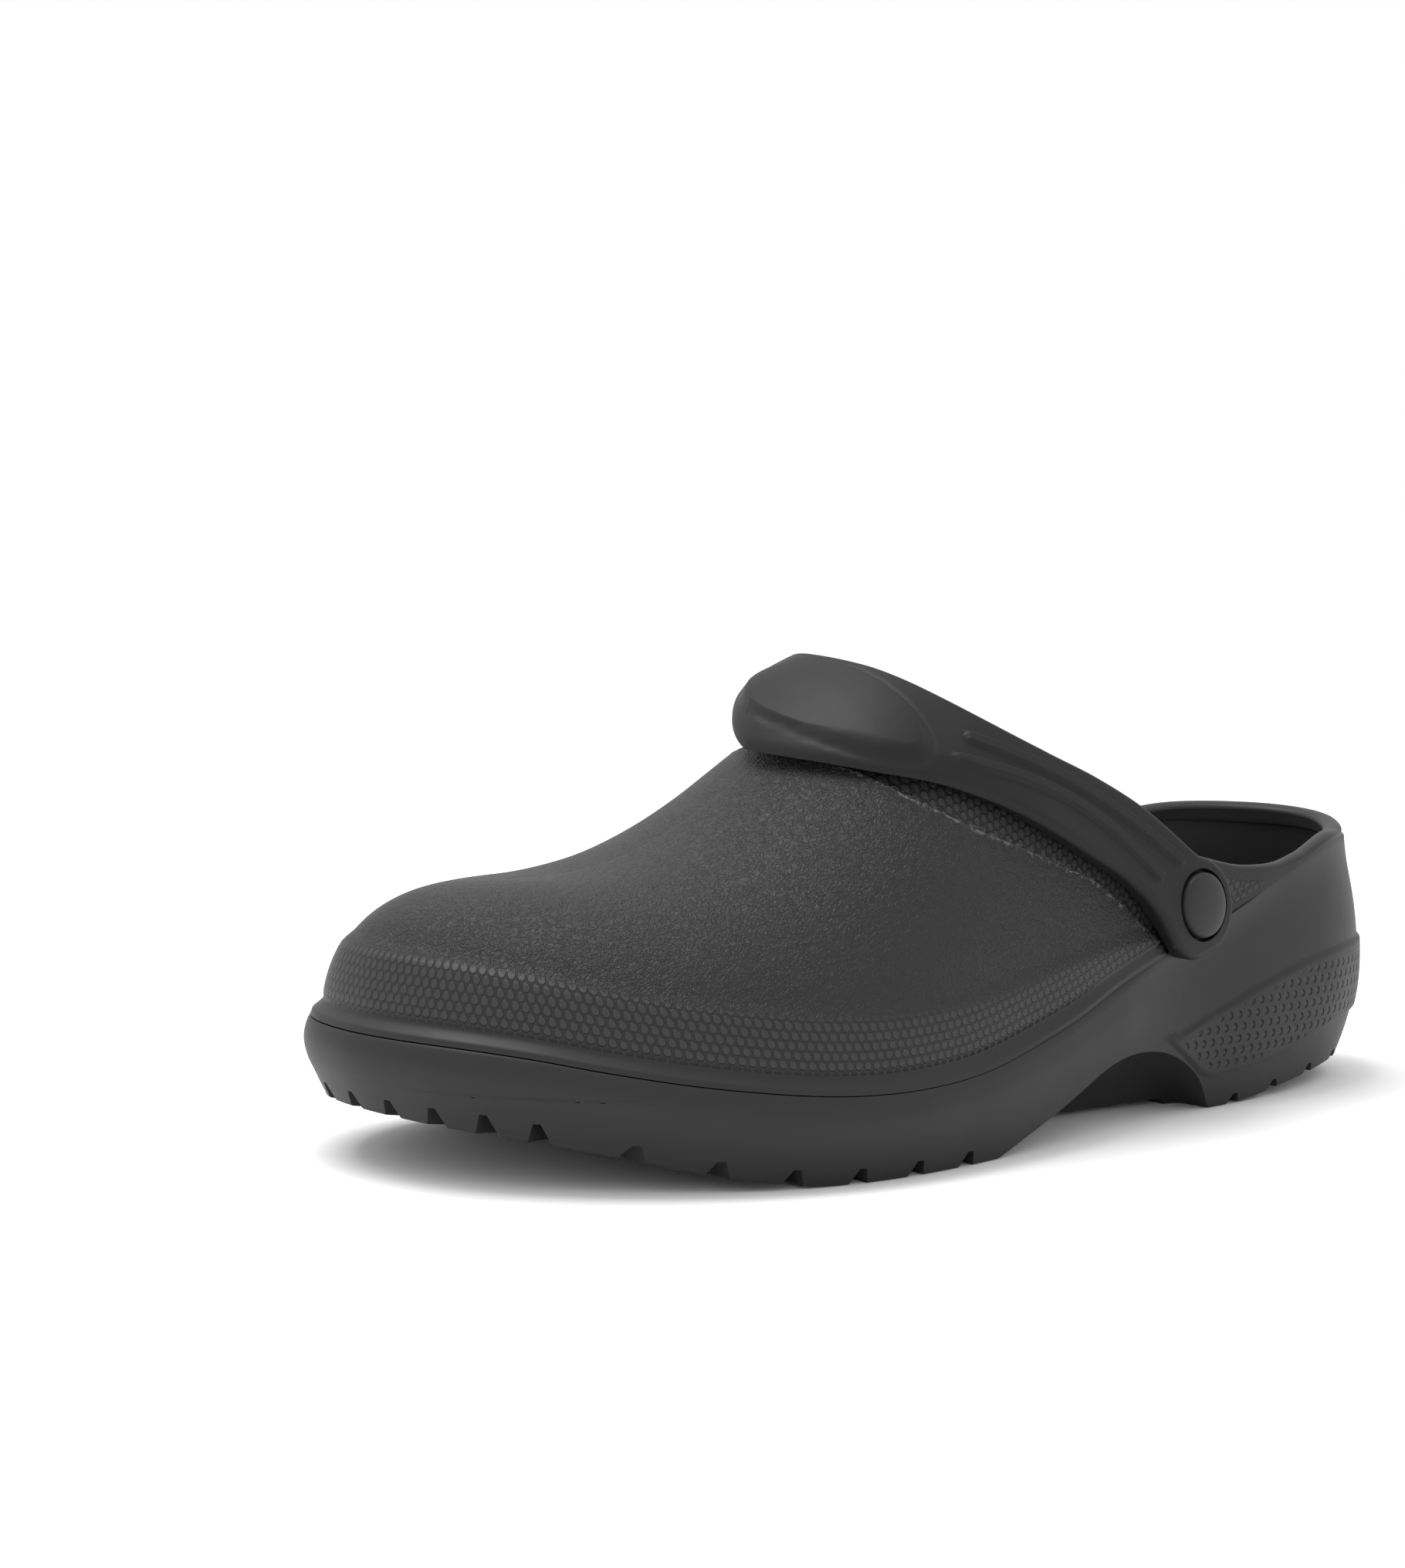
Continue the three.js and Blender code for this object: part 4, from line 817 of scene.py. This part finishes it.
# %% Strap sizes
STRAP_WIDTH = 20.4
STRAP_THICKNESS = 6.0
STRAP_BODY = 4.4  # over the instep, where it stands clear of the upper
LEAST_BODY = 1.6  # what its rounded edges always leave
STRAP_CROWN = 3.0
STRAP_SKEW = 8.0
STRAP_NOSE = 188.0
STRAP_NOSE_RADIUS = 28.0
STRAP_MIDDLE = 6.0
LOBE_RADIUS = 12.2
BADGE_LENGTH = 52.0
BADGE_WIDTH = 22.0
BADGE_STATION = 0.606
BADGE_UP = 0.992
BADGE_RISE = 0.85
BADGE_TOP = 0.94  # its slope begins at this share of the oval
BADGE_DOME = 0.15
BADGE_GROOVE = 0.3
INNER_SWELL = 2.0  # the strap is fuller where it bends down on the inner side
INNER_SWELL_AT = 2.1
INNER_SWELL_SPREAD = 0.36
RIB_WIDTH = 2.9
RIB_RISE = 0.9
RIVET_STATION = 0.3196
RIVET_RISE = 8.6
STRAP_CREST_STATION = 0.6214
STRAP_FRONT = table("along front", [
    (0.03, -0.6), (0.055, -0.54), (0.123, -0.383), (0.182, -0.302), (0.29, -0.24),
    (0.39, -0.252), (0.534, -0.263), (0.691, -0.291), (0.821, -0.395), (0.926, -0.541),
    (0.999, -0.64), (1.06, -0.72),
])
STRAP_REAR = table("along rear", [
    (-0.02, 0.54), (0.067, 0.55), (0.15, 0.6), (0.238, 0.65), (0.41, 0.64), (0.558, 0.57),
    (0.681, 0.54), (0.79, 0.56), (0.9, 0.62),
])
RIBS = table("start end rear bow lean", [
    (0.12, 0.755, 0.32, 0.09, -0.14), (0.17, 0.785, 0, 0.19, -0.14),
])
STRAP_OUTER = FIT - COLLAR_STEP + STRAP_THICKNESS


def column_at(x, theta):
    """Column and angle on the dome. theta: 0 outer side, half a turn inner side, by the crest."""
    q = turn(x / LAST_LENGTH)
    inner = theta > np.pi / 2
    return np.where(inner, 2 - q, q), np.where(inner, np.pi - theta, theta)


def strap_top(x, theta, rise=0.0):
    return dome(*column_at(x, theta), STRAP_OUTER + rise, STRAP_CROWN, STRAP_SKEW)


def strap_contact(x, theta):
    """Where the strap would lie on the upper's own relief, at a small clearance."""
    column = column_at(x, theta)
    bare = dome(*column)
    return dome(*column, np.minimum(relief(bare[..., 0], bare[..., 2]), FOXING_STEP) + FIT)


# %% Rivet seats and the strap's run
def on_dome(station, z, sign, offset):
    """Point and outward direction on the upper at a station and height."""
    q = turn(station) if sign > 0 else 2 - turn(station)
    small = 0.002

    def at(q_at, z_at):
        return dome(q_at, angle_at(q_at, z_at))

    point = at(q, z)
    around = at(q + small, z) - at(q - small, z)
    upwards = at(q, z + 0.1) - at(q, z - 0.1)
    normal = -np.cross(around, upwards)
    normal /= np.linalg.norm(normal)
    return point + normal * offset, normal


def rivet_seat(sign):
    x = RIVET_STATION * LAST_LENGTH
    return on_dome(RIVET_STATION, seam_z(x) + RIVET_RISE, sign, -COLLAR_STEP * recess_share(x))


rivet_point = rivet_seat(1)[0]
crest_at = STRAP_CREST_STATION * LAST_LENGTH
run_vector = np.array([crest_at - rivet_point[0],
                       float(crest_z(crest_at)) + STRAP_THICKNESS * 1.3 - rivet_point[2]])
strap_run = np.hypot(*run_vector)
way = run_vector / strap_run
front_share = curve(STRAP_FRONT, "front", key="along")
rear_share = curve(STRAP_REAR, "rear", key="along")


def run_place(points):
    """Distance along the run and to its rear, both in millimetres, of points seen from the side."""
    dx = points[..., 0] - rivet_point[0]
    dz = points[..., 2] - rivet_point[2]
    return dx * way[0] + dz * way[1], dz * way[0] - dx * way[1]


def side_point(travel, rearward):
    x = rivet_point[0] + way[0] * travel - way[1] * rearward
    z = rivet_point[2] + way[1] * travel + way[0] * rearward
    return x, z


def seen_from_side(x, z, sign):
    """Where the strap's top passes a point of the side view: the section's x and theta."""
    x_at = np.array(x, float)
    q = turn(x_at / LAST_LENGTH)
    theta = angle_at(q, z)
    for _ in range(12):
        probe = np.where(sign > 0, theta, np.pi - theta)
        found = strap_top(x_at, probe)
        foot = seam_z(x_at) - BASE_DROP
        tall = crest_z(x_at) + STRAP_OUTER + STRAP_CROWN - foot
        share = np.clip(np.sin(theta) ** (2 / boxy_at(x_at)) + (z - found[..., 2]) / tall, 0.001, 0.9995)
        theta = np.arcsin(share ** (boxy_at(x_at) / 2))
        x_at = x_at + (x - found[..., 0])
    return x_at, np.where(sign > 0, theta, np.pi - theta)


print("rivet:", np.round(rivet_point, 1), "strap's run:", round(float(strap_run), 1), "mm")

# %% Edges of the strap
SIDE_END = 0.7  # up to here the cross-lines are taken from the side view
LOBE_LINES = 34
SIDE_LINES = 120
CREST_LINES = 200
lobe_travel = -LOBE_RADIUS * np.cos(np.linspace(0, np.pi / 2, LOBE_LINES + 1))[:-1]
travel = np.concatenate([lobe_travel, np.linspace(0, SIDE_END * strap_run, SIDE_LINES)])
chord = np.sqrt(np.maximum(LOBE_RADIUS**2 - travel**2, 0))
table_front = -front_share(np.maximum(travel / strap_run, 0.03)) * STRAP_WIDTH
table_rear = rear_share(np.maximum(travel / strap_run, -0.02)) * STRAP_WIDTH
front = -np.where(travel < 2.9, chord, table_front)
rear = np.where(travel < 0, chord, np.maximum(chord, table_rear))


def crest_edge(thetas, which):
    """x of the front or rear edge where the strap crosses the instep."""
    xs = np.linspace(120, 200, 400)
    points = strap_top(xs, thetas[:, None])
    travelled, rearward = run_place(points)
    if which == "rear":
        return crossing(rear_share(travelled / strap_run) * STRAP_WIDTH - rearward, xs)
    nose = STRAP_NOSE - (points[..., 1] - STRAP_MIDDLE) ** 2 / (2 * STRAP_NOSE_RADIUS)
    from_side = rearward - front_share(travelled / strap_run) * STRAP_WIDTH
    return crossing(np.minimum(from_side, nose - points[..., 0])[:, ::-1], xs[::-1])


fraction = np.linspace(0, 1, CREST_LINES + 2)[1:-1]
lines = {}
for edge_name, rearward in (("front", front), ("rear", rear)):
    x_out, theta_out = seen_from_side(*side_point(travel, rearward), 1)
    x_in, theta_in = seen_from_side(*side_point(travel, rearward), -1)
    thetas = mix(theta_out[-1], theta_in[-1], fraction)
    lines[edge_name] = (np.concatenate([x_out, crest_edge(thetas, edge_name), x_in[::-1]]),
                        np.concatenate([theta_out, thetas, theta_in[::-1]]))
print("cross-lines:", len(lines["front"][0]))
print("front edge at the crest: x", round(float(lines["front"][0].max()), 1))

# %% Strap's section
EDGE_ROUND = 1.7
FRONT_FALL = 1.5  # how far the top falls towards the front edge over the instep
FRONT_FALL_WIDTH = 5.5
near_front = [0, 0.12, 0.35, 0.7, 1.1, 1.6, 2.2, 2.9, 3.7, 4.6]
near_rear = [3.6, 2.9, 2.2, 1.6, 1.1, 0.7, 0.35, 0.12, 0]
MIDDLE_ROWS = 68
FULL_WIDTH = 16.0  # where the strap is narrower, as round the lobes, its edge rows draw together


def on_lines(share):
    """x and theta at a share of the way from the front edge to the rear one."""
    return [mix(at_front, at_rear, share) for at_front, at_rear in zip(lines["front"], lines["rear"])]


chord_points = np.stack([strap_top(*on_lines(t)) for t in np.linspace(0, 1, 25)])
width = np.linalg.norm(np.diff(chord_points, axis=0), axis=2).sum(axis=0)
per_mm = np.minimum(1, width / FULL_WIDTH) / np.maximum(width, 0.001)
front_shares = np.array(near_front)[:, None] * per_mm
rear_shares = 1 - np.array(near_rear)[:, None] * per_mm
middle = (np.arange(1, MIDDLE_ROWS) / MIDDLE_ROWS)[:, None]
share_rows = np.clip(np.concatenate([
    front_shares, mix(front_shares[-1:], rear_shares[:1], middle), rear_shares]), 0, 1)
x_rows, theta_rows = on_lines(share_rows)
top = strap_top(x_rows, theta_rows)
travelled, rearward = run_place(top)
from_front = share_rows * width
from_rear = (1 - share_rows) * width
from_tip = np.where(travelled < 4, LOBE_RADIUS - np.hypot(travelled, rearward), 99)
to_edge = np.clip(np.minimum(np.minimum(from_front, from_rear), np.maximum(from_tip, 0)), 0, None)
print("strap's width at the crest:", round(float(width[len(width) // 2]), 1), "mm")


def rounded(distance, radius):
    near = np.clip(radius - distance, 0, radius)
    return radius - np.sqrt(np.maximum(radius**2 - near**2, 0))


def rib_rise():
    """Raised ribs with rounded ends, by the run's own measures."""
    rise = np.zeros_like(travelled)
    for start, end, rear, bow, lean in zip(*RIBS.values()):
        part = np.clip((travelled / strap_run - start) / (end - start), 0, 1)
        middle = (rear + bow * np.sin(np.pi * part) + lean * part**2) * STRAP_WIDTH
        past = (travelled / strap_run - (start + part * (end - start))) * strap_run
        away = np.hypot(rearward - middle, past)
        rise = np.maximum(rise, RIB_RISE * (1 - smooth(RIB_WIDTH * 0.32, RIB_WIDTH * 0.52, away)))
    return rise


badge_x = BADGE_STATION * LAST_LENGTH
badge_base = float(seam_z(badge_x)) - BASE_DROP
badge_z = mix(badge_base, float(crest_z(badge_x)), BADGE_UP)
badge_point, badge_normal = on_dome(BADGE_STATION, badge_z, 1, 0)
along_shoe = np.cross([0, 1, 0], badge_normal)
along_shoe /= np.linalg.norm(along_shoe)
across_shoe = np.cross(along_shoe, badge_normal)
away = top - badge_point
oval = np.hypot((away @ along_shoe) / (BADGE_WIDTH / 2), (away @ across_shoe) / (BADGE_LENGTH / 2))
near_crest = (theta_rows > 0.6) & (theta_rows < 2.6)
badge = BADGE_RISE * (1 - smooth(BADGE_TOP, 1.0, oval)) + BADGE_DOME * np.clip(1 - oval**2, 0, 1)
badge = badge - BADGE_GROOVE * np.exp(-(((oval - 1.06) / 0.035) ** 2))
swell = INNER_SWELL * np.exp(-(((theta_rows - INNER_SWELL_AT) / INNER_SWELL_SPREAD) ** 2))
rise = rib_rise() + badge * near_crest + swell
over_instep = smooth(0.5, 0.85, travelled / strap_run)
front_fall = FRONT_FALL * over_instep * (1 - smooth(0, FRONT_FALL_WIDTH, from_front))
rise = rise - rounded(to_edge, EDGE_ROUND) - front_fall


def body(x, theta, travel_at):
    """Thickness of the strap: down to the upper at the lobes, an even band over the instep."""
    over = strap_top(x, theta)
    room = np.full(over.shape[:-1], 99.0)
    for ahead in np.linspace(-4, 4, 5):
        for around in np.linspace(-0.24, 0.24, 17):
            gap = np.linalg.norm(over - strap_contact(x + ahead, theta + around), axis=-1)
            room = np.minimum(room, gap)
    free = smooth(LOBE_RADIUS - 2, LOBE_RADIUS + 6, travel_at)
    return mix(room, np.minimum(room, STRAP_BODY), free)


def outward(x, theta):
    """Direction square to the strap's top, away from the foot."""
    ahead = strap_top(x + 0.5, theta) - strap_top(x - 0.5, theta)
    around = strap_top(x, theta + 0.01) - strap_top(x, theta - 0.01)
    normal = np.cross(around, ahead)
    return normal / np.linalg.norm(normal, axis=-1)[..., None]


rise = np.maximum(rise, LEAST_BODY - body(x_rows, theta_rows, travelled))
top = strap_top(x_rows, theta_rows, rise)

# Underside: a band of even thickness over the instep, on the collar band at the lobes
near_edge = np.array([0, 0.15, 0.4, 0.8, 1.4])[:, None] * per_mm
across_under = np.linspace(0, 1, 11)[1:-1, None]
under_shares = np.concatenate([
    1 - near_edge, mix(1 - near_edge[-1:], near_edge[-1:], across_under), near_edge[::-1]])
x_under, theta_under = on_lines(under_shares)
plain_top = strap_top(x_under, theta_under)
under_edge = np.minimum(under_shares, 1 - under_shares) * width
deep = body(x_under, theta_under, run_place(plain_top)[0]) - rounded(under_edge, 0.5)
under = plain_top - outward(x_under, theta_under) * deep[..., None]
walls = (0.25, 0.55, 0.85)
rear_wall = np.stack([mix(top[-1], under[0], t) for t in walls])
front_wall = np.stack([mix(under[-1], top[0], 1 - t) for t in walls[::-1]])
strap_points = np.concatenate([top, rear_wall, under, front_wall, top[:1]])
width_across = np.concatenate([from_front, strap_points[len(top):, :, 0] * 0])
bm, _ = laid_grid(strap_points, {}, unrolled(top[len(top) // 2], width_across))
strap = piece("instep_strap", closed(bm))
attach(strap, "root")
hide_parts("strap")

# %% [markdown]
# ## Rivets
# Each snap rivet is two turned parts: a domed button outside and a low cap inside. A profile of a
# few corners is spun a full turn round the rivet's own line, and the cap's rims get a small bevel.

# %% Rivet sizes and turning
BUTTON_RADIUS = 7.6
BUTTON_DOME = 1.3
BUTTON_GROOVE = 0.9
BUTTON_SEAT = 2.6
SHAFT_RADIUS = 3.0
CAP_RADIUS = 7.0
CAP_THICKNESS = 3.0
CAP_BORE = 1.8
CAP_SPOTFACE = 0.6
cap_top = COLLAR_STEP - UPPER_WALL + CAP_SPOTFACE - FIT
shaft_end = cap_top - CAP_THICKNESS + CAP_BORE


def turned(name, profile, sign, steps=72, round_edges=0.0):
    """Profile of (radius, height) corners spun about the rivet's line on one side of the shoe."""
    bm = bmesh.new()
    verts = [bm.verts.new((radius, 0, height)) for radius, height in profile]
    for first, second in zip(verts, verts[1:]):
        bm.edges.new((first, second))
    bmesh.ops.spin(bm, geom=bm.verts[:] + bm.edges[:], cent=(0, 0, 0), axis=(0, 0, 1),
                   angle=2 * np.pi, steps=steps, use_merge=True)
    bmesh.ops.remove_doubles(bm, verts=bm.verts[:], dist=0.0001)
    bmesh.ops.recalc_face_normals(bm, faces=bm.faces[:])
    if round_edges:
        sharp = [edge for edge in bm.edges if edge.calc_face_angle(0) > np.radians(40)]
        bmesh.ops.bevel(bm, geom=sharp, offset=round_edges, segments=3, profile=0.5,
                        affect="EDGES", material=-1)
    point, normal = rivet_seat(sign)
    turned_to = Vector((0, 0, 1)).rotation_difference(Vector(normal)).to_matrix().to_4x4()
    placed = Matrix.Scale(MM, 4) @ Matrix.Translation(point - MIDDLE) @ turned_to
    bmesh.ops.transform(bm, matrix=placed, verts=bm.verts[:])
    return piece(name, bm, sharp=50)


# %% Rivets
seat_level = STRAP_OUTER + COLLAR_STEP - BUTTON_SEAT
holes = []
top_level = REACH / 4
for sign in (1, -1):
    holes.append(turned("seat", [(0, seat_level), (BUTTON_RADIUS + BUTTON_GROOVE, seat_level),
                                 (BUTTON_RADIUS + BUTTON_GROOVE, top_level), (0, top_level)], sign))
    holes.append(turned("bore", [(0, -top_level), (SHAFT_RADIUS + FIT, -top_level),
                                 (SHAFT_RADIUS + FIT, top_level), (0, top_level)], sign, 48))
cut(strap, holes, sharp=38)
edge_level = STRAP_OUTER + COLLAR_STEP + BUTTON_DOME * 0.2
dome_profile = [(BUTTON_RADIUS * np.cos(a), edge_level - 0.3 + (BUTTON_DOME + 0.3) * np.sin(a) ** 0.8)
                for a in np.linspace(0.28, np.pi / 2, 12)]
for sign, side_name in ((1, "lateral"), (-1, "medial")):
    button = turned(f"button_{side_name}", [
        (0, shaft_end), (SHAFT_RADIUS, shaft_end), (SHAFT_RADIUS, seat_level + FIT),
        (BUTTON_RADIUS, seat_level + FIT), (BUTTON_RADIUS, edge_level - 0.5), *dome_profile], sign)
    cap = turned(f"cap_{side_name}", [
        (0, cap_top - CAP_THICKNESS), (CAP_RADIUS * 0.8, cap_top - CAP_THICKNESS),
        (CAP_RADIUS, cap_top - CAP_THICKNESS * 0.5), (CAP_RADIUS, cap_top), (SHAFT_RADIUS + FIT, cap_top),
        (SHAFT_RADIUS + FIT, shaft_end - FIT), (0, shaft_end - FIT)], sign, 48, 0.4)
    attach(button, "root")
    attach(cap, "root")
    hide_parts(f"rivet_button_{side_name}")
    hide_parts(f"rivet_cap_{side_name}")

# %% [markdown]
# ## Materials
# The whole clog is one charcoal foam. What changes from place to place is its skin: fine leather
# grain on the vamp, moulded dots on the band, dimples on the heel and a smooth, faintly uneven skin
# on the sole and the strap. The relief is made as heights in metres for one Bump node, from the
# pieces' own maps and attributes. In colour, the dot tops are painted lighter as a painted highlight,
# and the scuffed ridge is lighter, worn foam.


# %% Shader helpers
class Link:
    """A socket that takes part in sums: an expression on links adds the Math nodes it needs."""

    def __init__(self, tree, socket):
        self.tree = tree
        self.socket = socket

    def math(self, operation, *values):
        node = self.tree.nodes.new("ShaderNodeMath")
        node.operation = operation
        for slot, value in zip(node.inputs, values):
            join(self.tree, slot, value)
        return Link(self.tree, node.outputs[0])

    def __add__(self, other):
        return self.math("ADD", self, other)

    def __sub__(self, other):
        return self.math("SUBTRACT", self, other)

    def __rsub__(self, other):
        return self.math("SUBTRACT", other, self)

    def __mul__(self, other):
        return self.math("MULTIPLY", self, other)

    __radd__ = __add__
    __rmul__ = __mul__


def join(tree, slot, value):
    if isinstance(value, Link):
        tree.links.new(value.socket, slot)
    else:
        slot.default_value = value


class Finish:
    """A material with one Principled shader, filled node by node."""

    def __init__(self, name):
        self.material = bpy.data.materials.new(name)
        self.material.use_nodes = True
        self.tree = self.material.node_tree
        self.shader = self.tree.nodes["Principled BSDF"]

    def node(self, kind, settings, values, output=0):
        made = self.tree.nodes.new(kind)
        for name, value in settings.items():
            setattr(made, name, value)
        for name, value in values.items():
            join(self.tree, made.inputs[name], value)
        return Link(self.tree, made.outputs[output])

    def set(self, **values):
        for name, value in values.items():
            join(self.tree, self.shader.inputs[name.replace("_", " ")], value)

    def noise(self, place, scale, detail, output=0):
        values = {"Vector": place, "Scale": scale, "Detail": detail}
        return self.node("ShaderNodeTexNoise", {}, values, output)

    def rise(self, low, high, value):
        """S-shaped rise from 0 to 1."""
        return self.node("ShaderNodeMapRange", {"interpolation_type": "SMOOTHSTEP"},
                         {"Value": value, "From Min": low, "From Max": high})

    def blend(self, share, first, second):
        """Colour between two colours."""
        return self.node("ShaderNodeMix", {"data_type": "RGBA"}, {0: share, 6: first, 7: second}, 2)

    def hex_distance(self, pitch):
        """Distance in millimetres to the nearest place of a honeycomb laid on the piece's map."""
        uv = self.node("ShaderNodeUVMap", {"uv_map": "surface"}, {})
        parts = self.tree.nodes.new("ShaderNodeSeparateXYZ")
        self.tree.links.new(uv.socket, parts.inputs[0])
        u = Link(self.tree, parts.outputs[0]) * (1 / (MM * pitch))
        v = Link(self.tree, parts.outputs[1]) * (1 / (MM * pitch * 3**0.5))
        nearest = []
        for shift in (0.0, 0.5):
            du = (u.math("FRACT", u + shift) - 0.5) * pitch
            dv = (v.math("FRACT", v + shift) - 0.5) * (pitch * 3**0.5)
            nearest.append(du.math("SQRT", du * du + dv * dv))
        return nearest[0].math("MINIMUM", nearest[0], nearest[1])


FOAM_COLOUR = (0.0125, 0.0125, 0.013, 1)
STRAP_COLOUR = (0.0105, 0.0105, 0.011, 1)
WORN_COLOUR = (0.09, 0.09, 0.092, 1)
# lighter colour of the dot tops: a painted highlight
DOT_PAINTED_HIGHLIGHT_COLOUR = (0.028, 0.028, 0.029, 1)
FOOTBED_COLOUR = (0.03, 0.03, 0.031, 1)


def foam_finish(name, colour=FOAM_COLOUR, roughness=0.5):
    """Plain moulded skin: faint unevenness in gloss and height."""
    finish = Finish(name)
    finish.place = finish.node("ShaderNodeTexCoord", {}, {}, "Object")
    cloudy = finish.noise(finish.place, 45.0, 3.0)
    fine = finish.noise(finish.place, 2600.0, 2.0)
    finish.set(Base_Color=colour)
    finish.set(Roughness=roughness + (cloudy - 0.5) * 0.14 + (fine - 0.5) * 0.1)
    finish.shader.inputs["Specular IOR Level"].default_value = 0.34
    finish.skin = fine * 0.000012 + cloudy * 0.00012
    return finish


def relief_from(finish, height):
    bump = finish.node("ShaderNodeBump", {}, {"Height": height, "Strength": 1.0, "Distance": 1.0})
    finish.set(Normal=bump)
    return finish.material


def mask(finish, name):
    return finish.node("ShaderNodeAttribute", {"attribute_name": name}, {}, "Fac")


# %% Foam finishes
DOT_PITCH = 2.28
DOT_RADIUS = 0.93
DIMPLE_PITCH = 3.3
finish = foam_finish("foam_upper")
dots_mask = mask(finish, "dots")
vamp_mask = mask(finish, "vamp")
dot = 1 - finish.rise(DOT_RADIUS - 0.12, DOT_RADIUS + 0.06, finish.hex_distance(DOT_PITCH))
bent = finish.noise(finish.place, 420.0, 1.0, "Color")
bent = finish.node("ShaderNodeVectorMath", {"operation": "MULTIPLY_ADD"},
                   {0: bent, 1: (0.0022, 0.0022, 0.0022), 2: finish.place})
fold = finish.noise(bent, 800.0, 1.5)
small_fold = finish.noise(bent, 1500.0, 1.0)
crease = finish.rise(0.0, 0.13, fold.math("ABSOLUTE", fold - 0.5))
small_crease = finish.rise(0.0, 0.16, small_fold.math("ABSOLUTE", small_fold - 0.5))
grain = crease * 0.00015 + small_crease * 0.00007
crumbs_mask = mask(finish, "crumbs")
crumb = finish.rise(0.45, 0.62, fold)
worn = finish.rise(0.3, 0.9, crumbs_mask * (crumb * 0.6 + 0.5))
# The dot tops are painted lighter: a painted highlight for the light that the raised dots catch
dot_painted_highlight = finish.blend(dot * dots_mask, FOAM_COLOUR, DOT_PAINTED_HIGHLIGHT_COLOUR)
finish.set(Base_Color=finish.blend(worn, dot_painted_highlight, WORN_COLOUR))
upper_height = finish.skin + dot * dots_mask * 0.0007 + grain * vamp_mask + crumb * crumbs_mask * 0.0003
upper_foam = relief_from(finish, upper_height)
upper.data.materials.append(upper_foam)

finish = foam_finish("foam_sole")
dimple = 1 - finish.rise(0.45, 1.1, finish.hex_distance(DIMPLE_PITCH))
sole_foam = relief_from(finish, finish.skin - dimple * mask(finish, "dimples") * 0.0009)
sole.data.materials.clear()
sole.data.materials.append(sole_foam)

finish = foam_finish("foam_strap", STRAP_COLOUR)
finish.shader.inputs["Specular IOR Level"].default_value = 0.22
strap.data.materials.clear()
strap.data.materials.append(relief_from(finish, finish.skin))

finish = foam_finish("foam_rivet", roughness=0.46)
rivet_foam = relief_from(finish, finish.skin)
for made in bpy.data.objects:
    if made.name.startswith(("button_", "cap_")):
        made.data.materials.append(rivet_foam)

finish = foam_finish("foam_footbed", FOOTBED_COLOUR, 0.62)
pebble = finish.node("ShaderNodeTexVoronoi", {}, {"Vector": finish.place, "Scale": 420.0})
footbed.data.materials.append(relief_from(finish, finish.skin + pebble * 0.00035))
print("materials:", [material.name for material in bpy.data.materials if material.name.startswith("foam")])

# %% [markdown]
# ## Floor, light and camera
# A white floor under soft light from above, with white all round. The camera stands where the
# photograph's camera stood, as fitted to the shoe's outline.

# %% Floor and light
bm = bmesh.new()
bmesh.ops.create_circle(bm, cap_ends=True, radius=4.0, segments=96)
floor_mesh = bpy.data.meshes.new("floor")
bm.to_mesh(floor_mesh)
bm.free()
floor = bpy.data.objects.new("floor", floor_mesh)
bpy.context.scene.collection.objects.link(floor)
paint = Finish("floor_paint")
paint.set(Base_Color=(1, 1, 1, 1), Roughness=1.0)
paint.shader.inputs["Specular IOR Level"].default_value = 0.0
floor_mesh.materials.append(paint.material)

world = bpy.data.worlds.new("studio")
world.use_nodes = True
world.node_tree.nodes["Background"].inputs[0].default_value = (1, 1, 1, 1)
world.node_tree.nodes["Background"].inputs[1].default_value = 1.0
bpy.context.scene.world = world
bpy.context.scene.view_settings.view_transform = "Standard"

# Soft light from above, on the toe's side and a little behind the shoe
LIGHT_PLACE = Vector((0.25, -0.25, 1.1))
light_data = bpy.data.lights.new("overhead", "AREA")
light_data.size = 0.7
light_data.energy = 9.0
light = bpy.data.objects.new("overhead", light_data)
bpy.context.scene.collection.objects.link(light)
facing = (Vector((0, 0, 0.05)) - LIGHT_PLACE).to_track_quat("-Z", "Y")
light.matrix_world = Matrix.Translation(LIGHT_PLACE) @ facing.to_matrix().to_4x4()

# %% Camera
camera_data = bpy.data.cameras.new("camera")
camera_data.sensor_fit = "VERTICAL"
camera_data.sensor_height = 36.0
PHOTO_WIDTH = 1820
PHOTO_HEIGHT = 2031
FOCAL_PIXELS = 4400.0
AXIS_X = 1150.0  # where the lens points in the photograph's own pixels
AXIS_Y = 1166.5
AIM = np.array([145.0, 0.0, 50.0])
DISTANCE = 781.233
camera_data.lens = FOCAL_PIXELS / PHOTO_HEIGHT * camera_data.sensor_height
camera_data.shift_x = (PHOTO_WIDTH / 2 - AXIS_X) / PHOTO_HEIGHT
camera_data.shift_y = (AXIS_Y - PHOTO_HEIGHT / 2) / PHOTO_HEIGHT
camera = bpy.data.objects.new("camera", camera_data)
bpy.context.scene.collection.objects.link(camera)
bpy.context.scene.camera = camera
azimuth, elevation, roll = np.radians([40.80885, 7.32204, 1.6])
back = Vector((np.sin(azimuth) * np.cos(elevation), np.cos(azimuth) * np.cos(elevation), np.sin(elevation)))
right = (-back).cross(Vector((0, 0, 1))).normalized()
up = right.cross(-back)
right, up = right * np.cos(roll) + up * np.sin(roll), up * np.cos(roll) - right * np.sin(roll)
target = Vector(AIM - MIDDLE)
eye = (target + back * DISTANCE) * MM
camera.matrix_world = Matrix.Translation(eye) @ Matrix((right, up, back)).transposed().to_4x4()
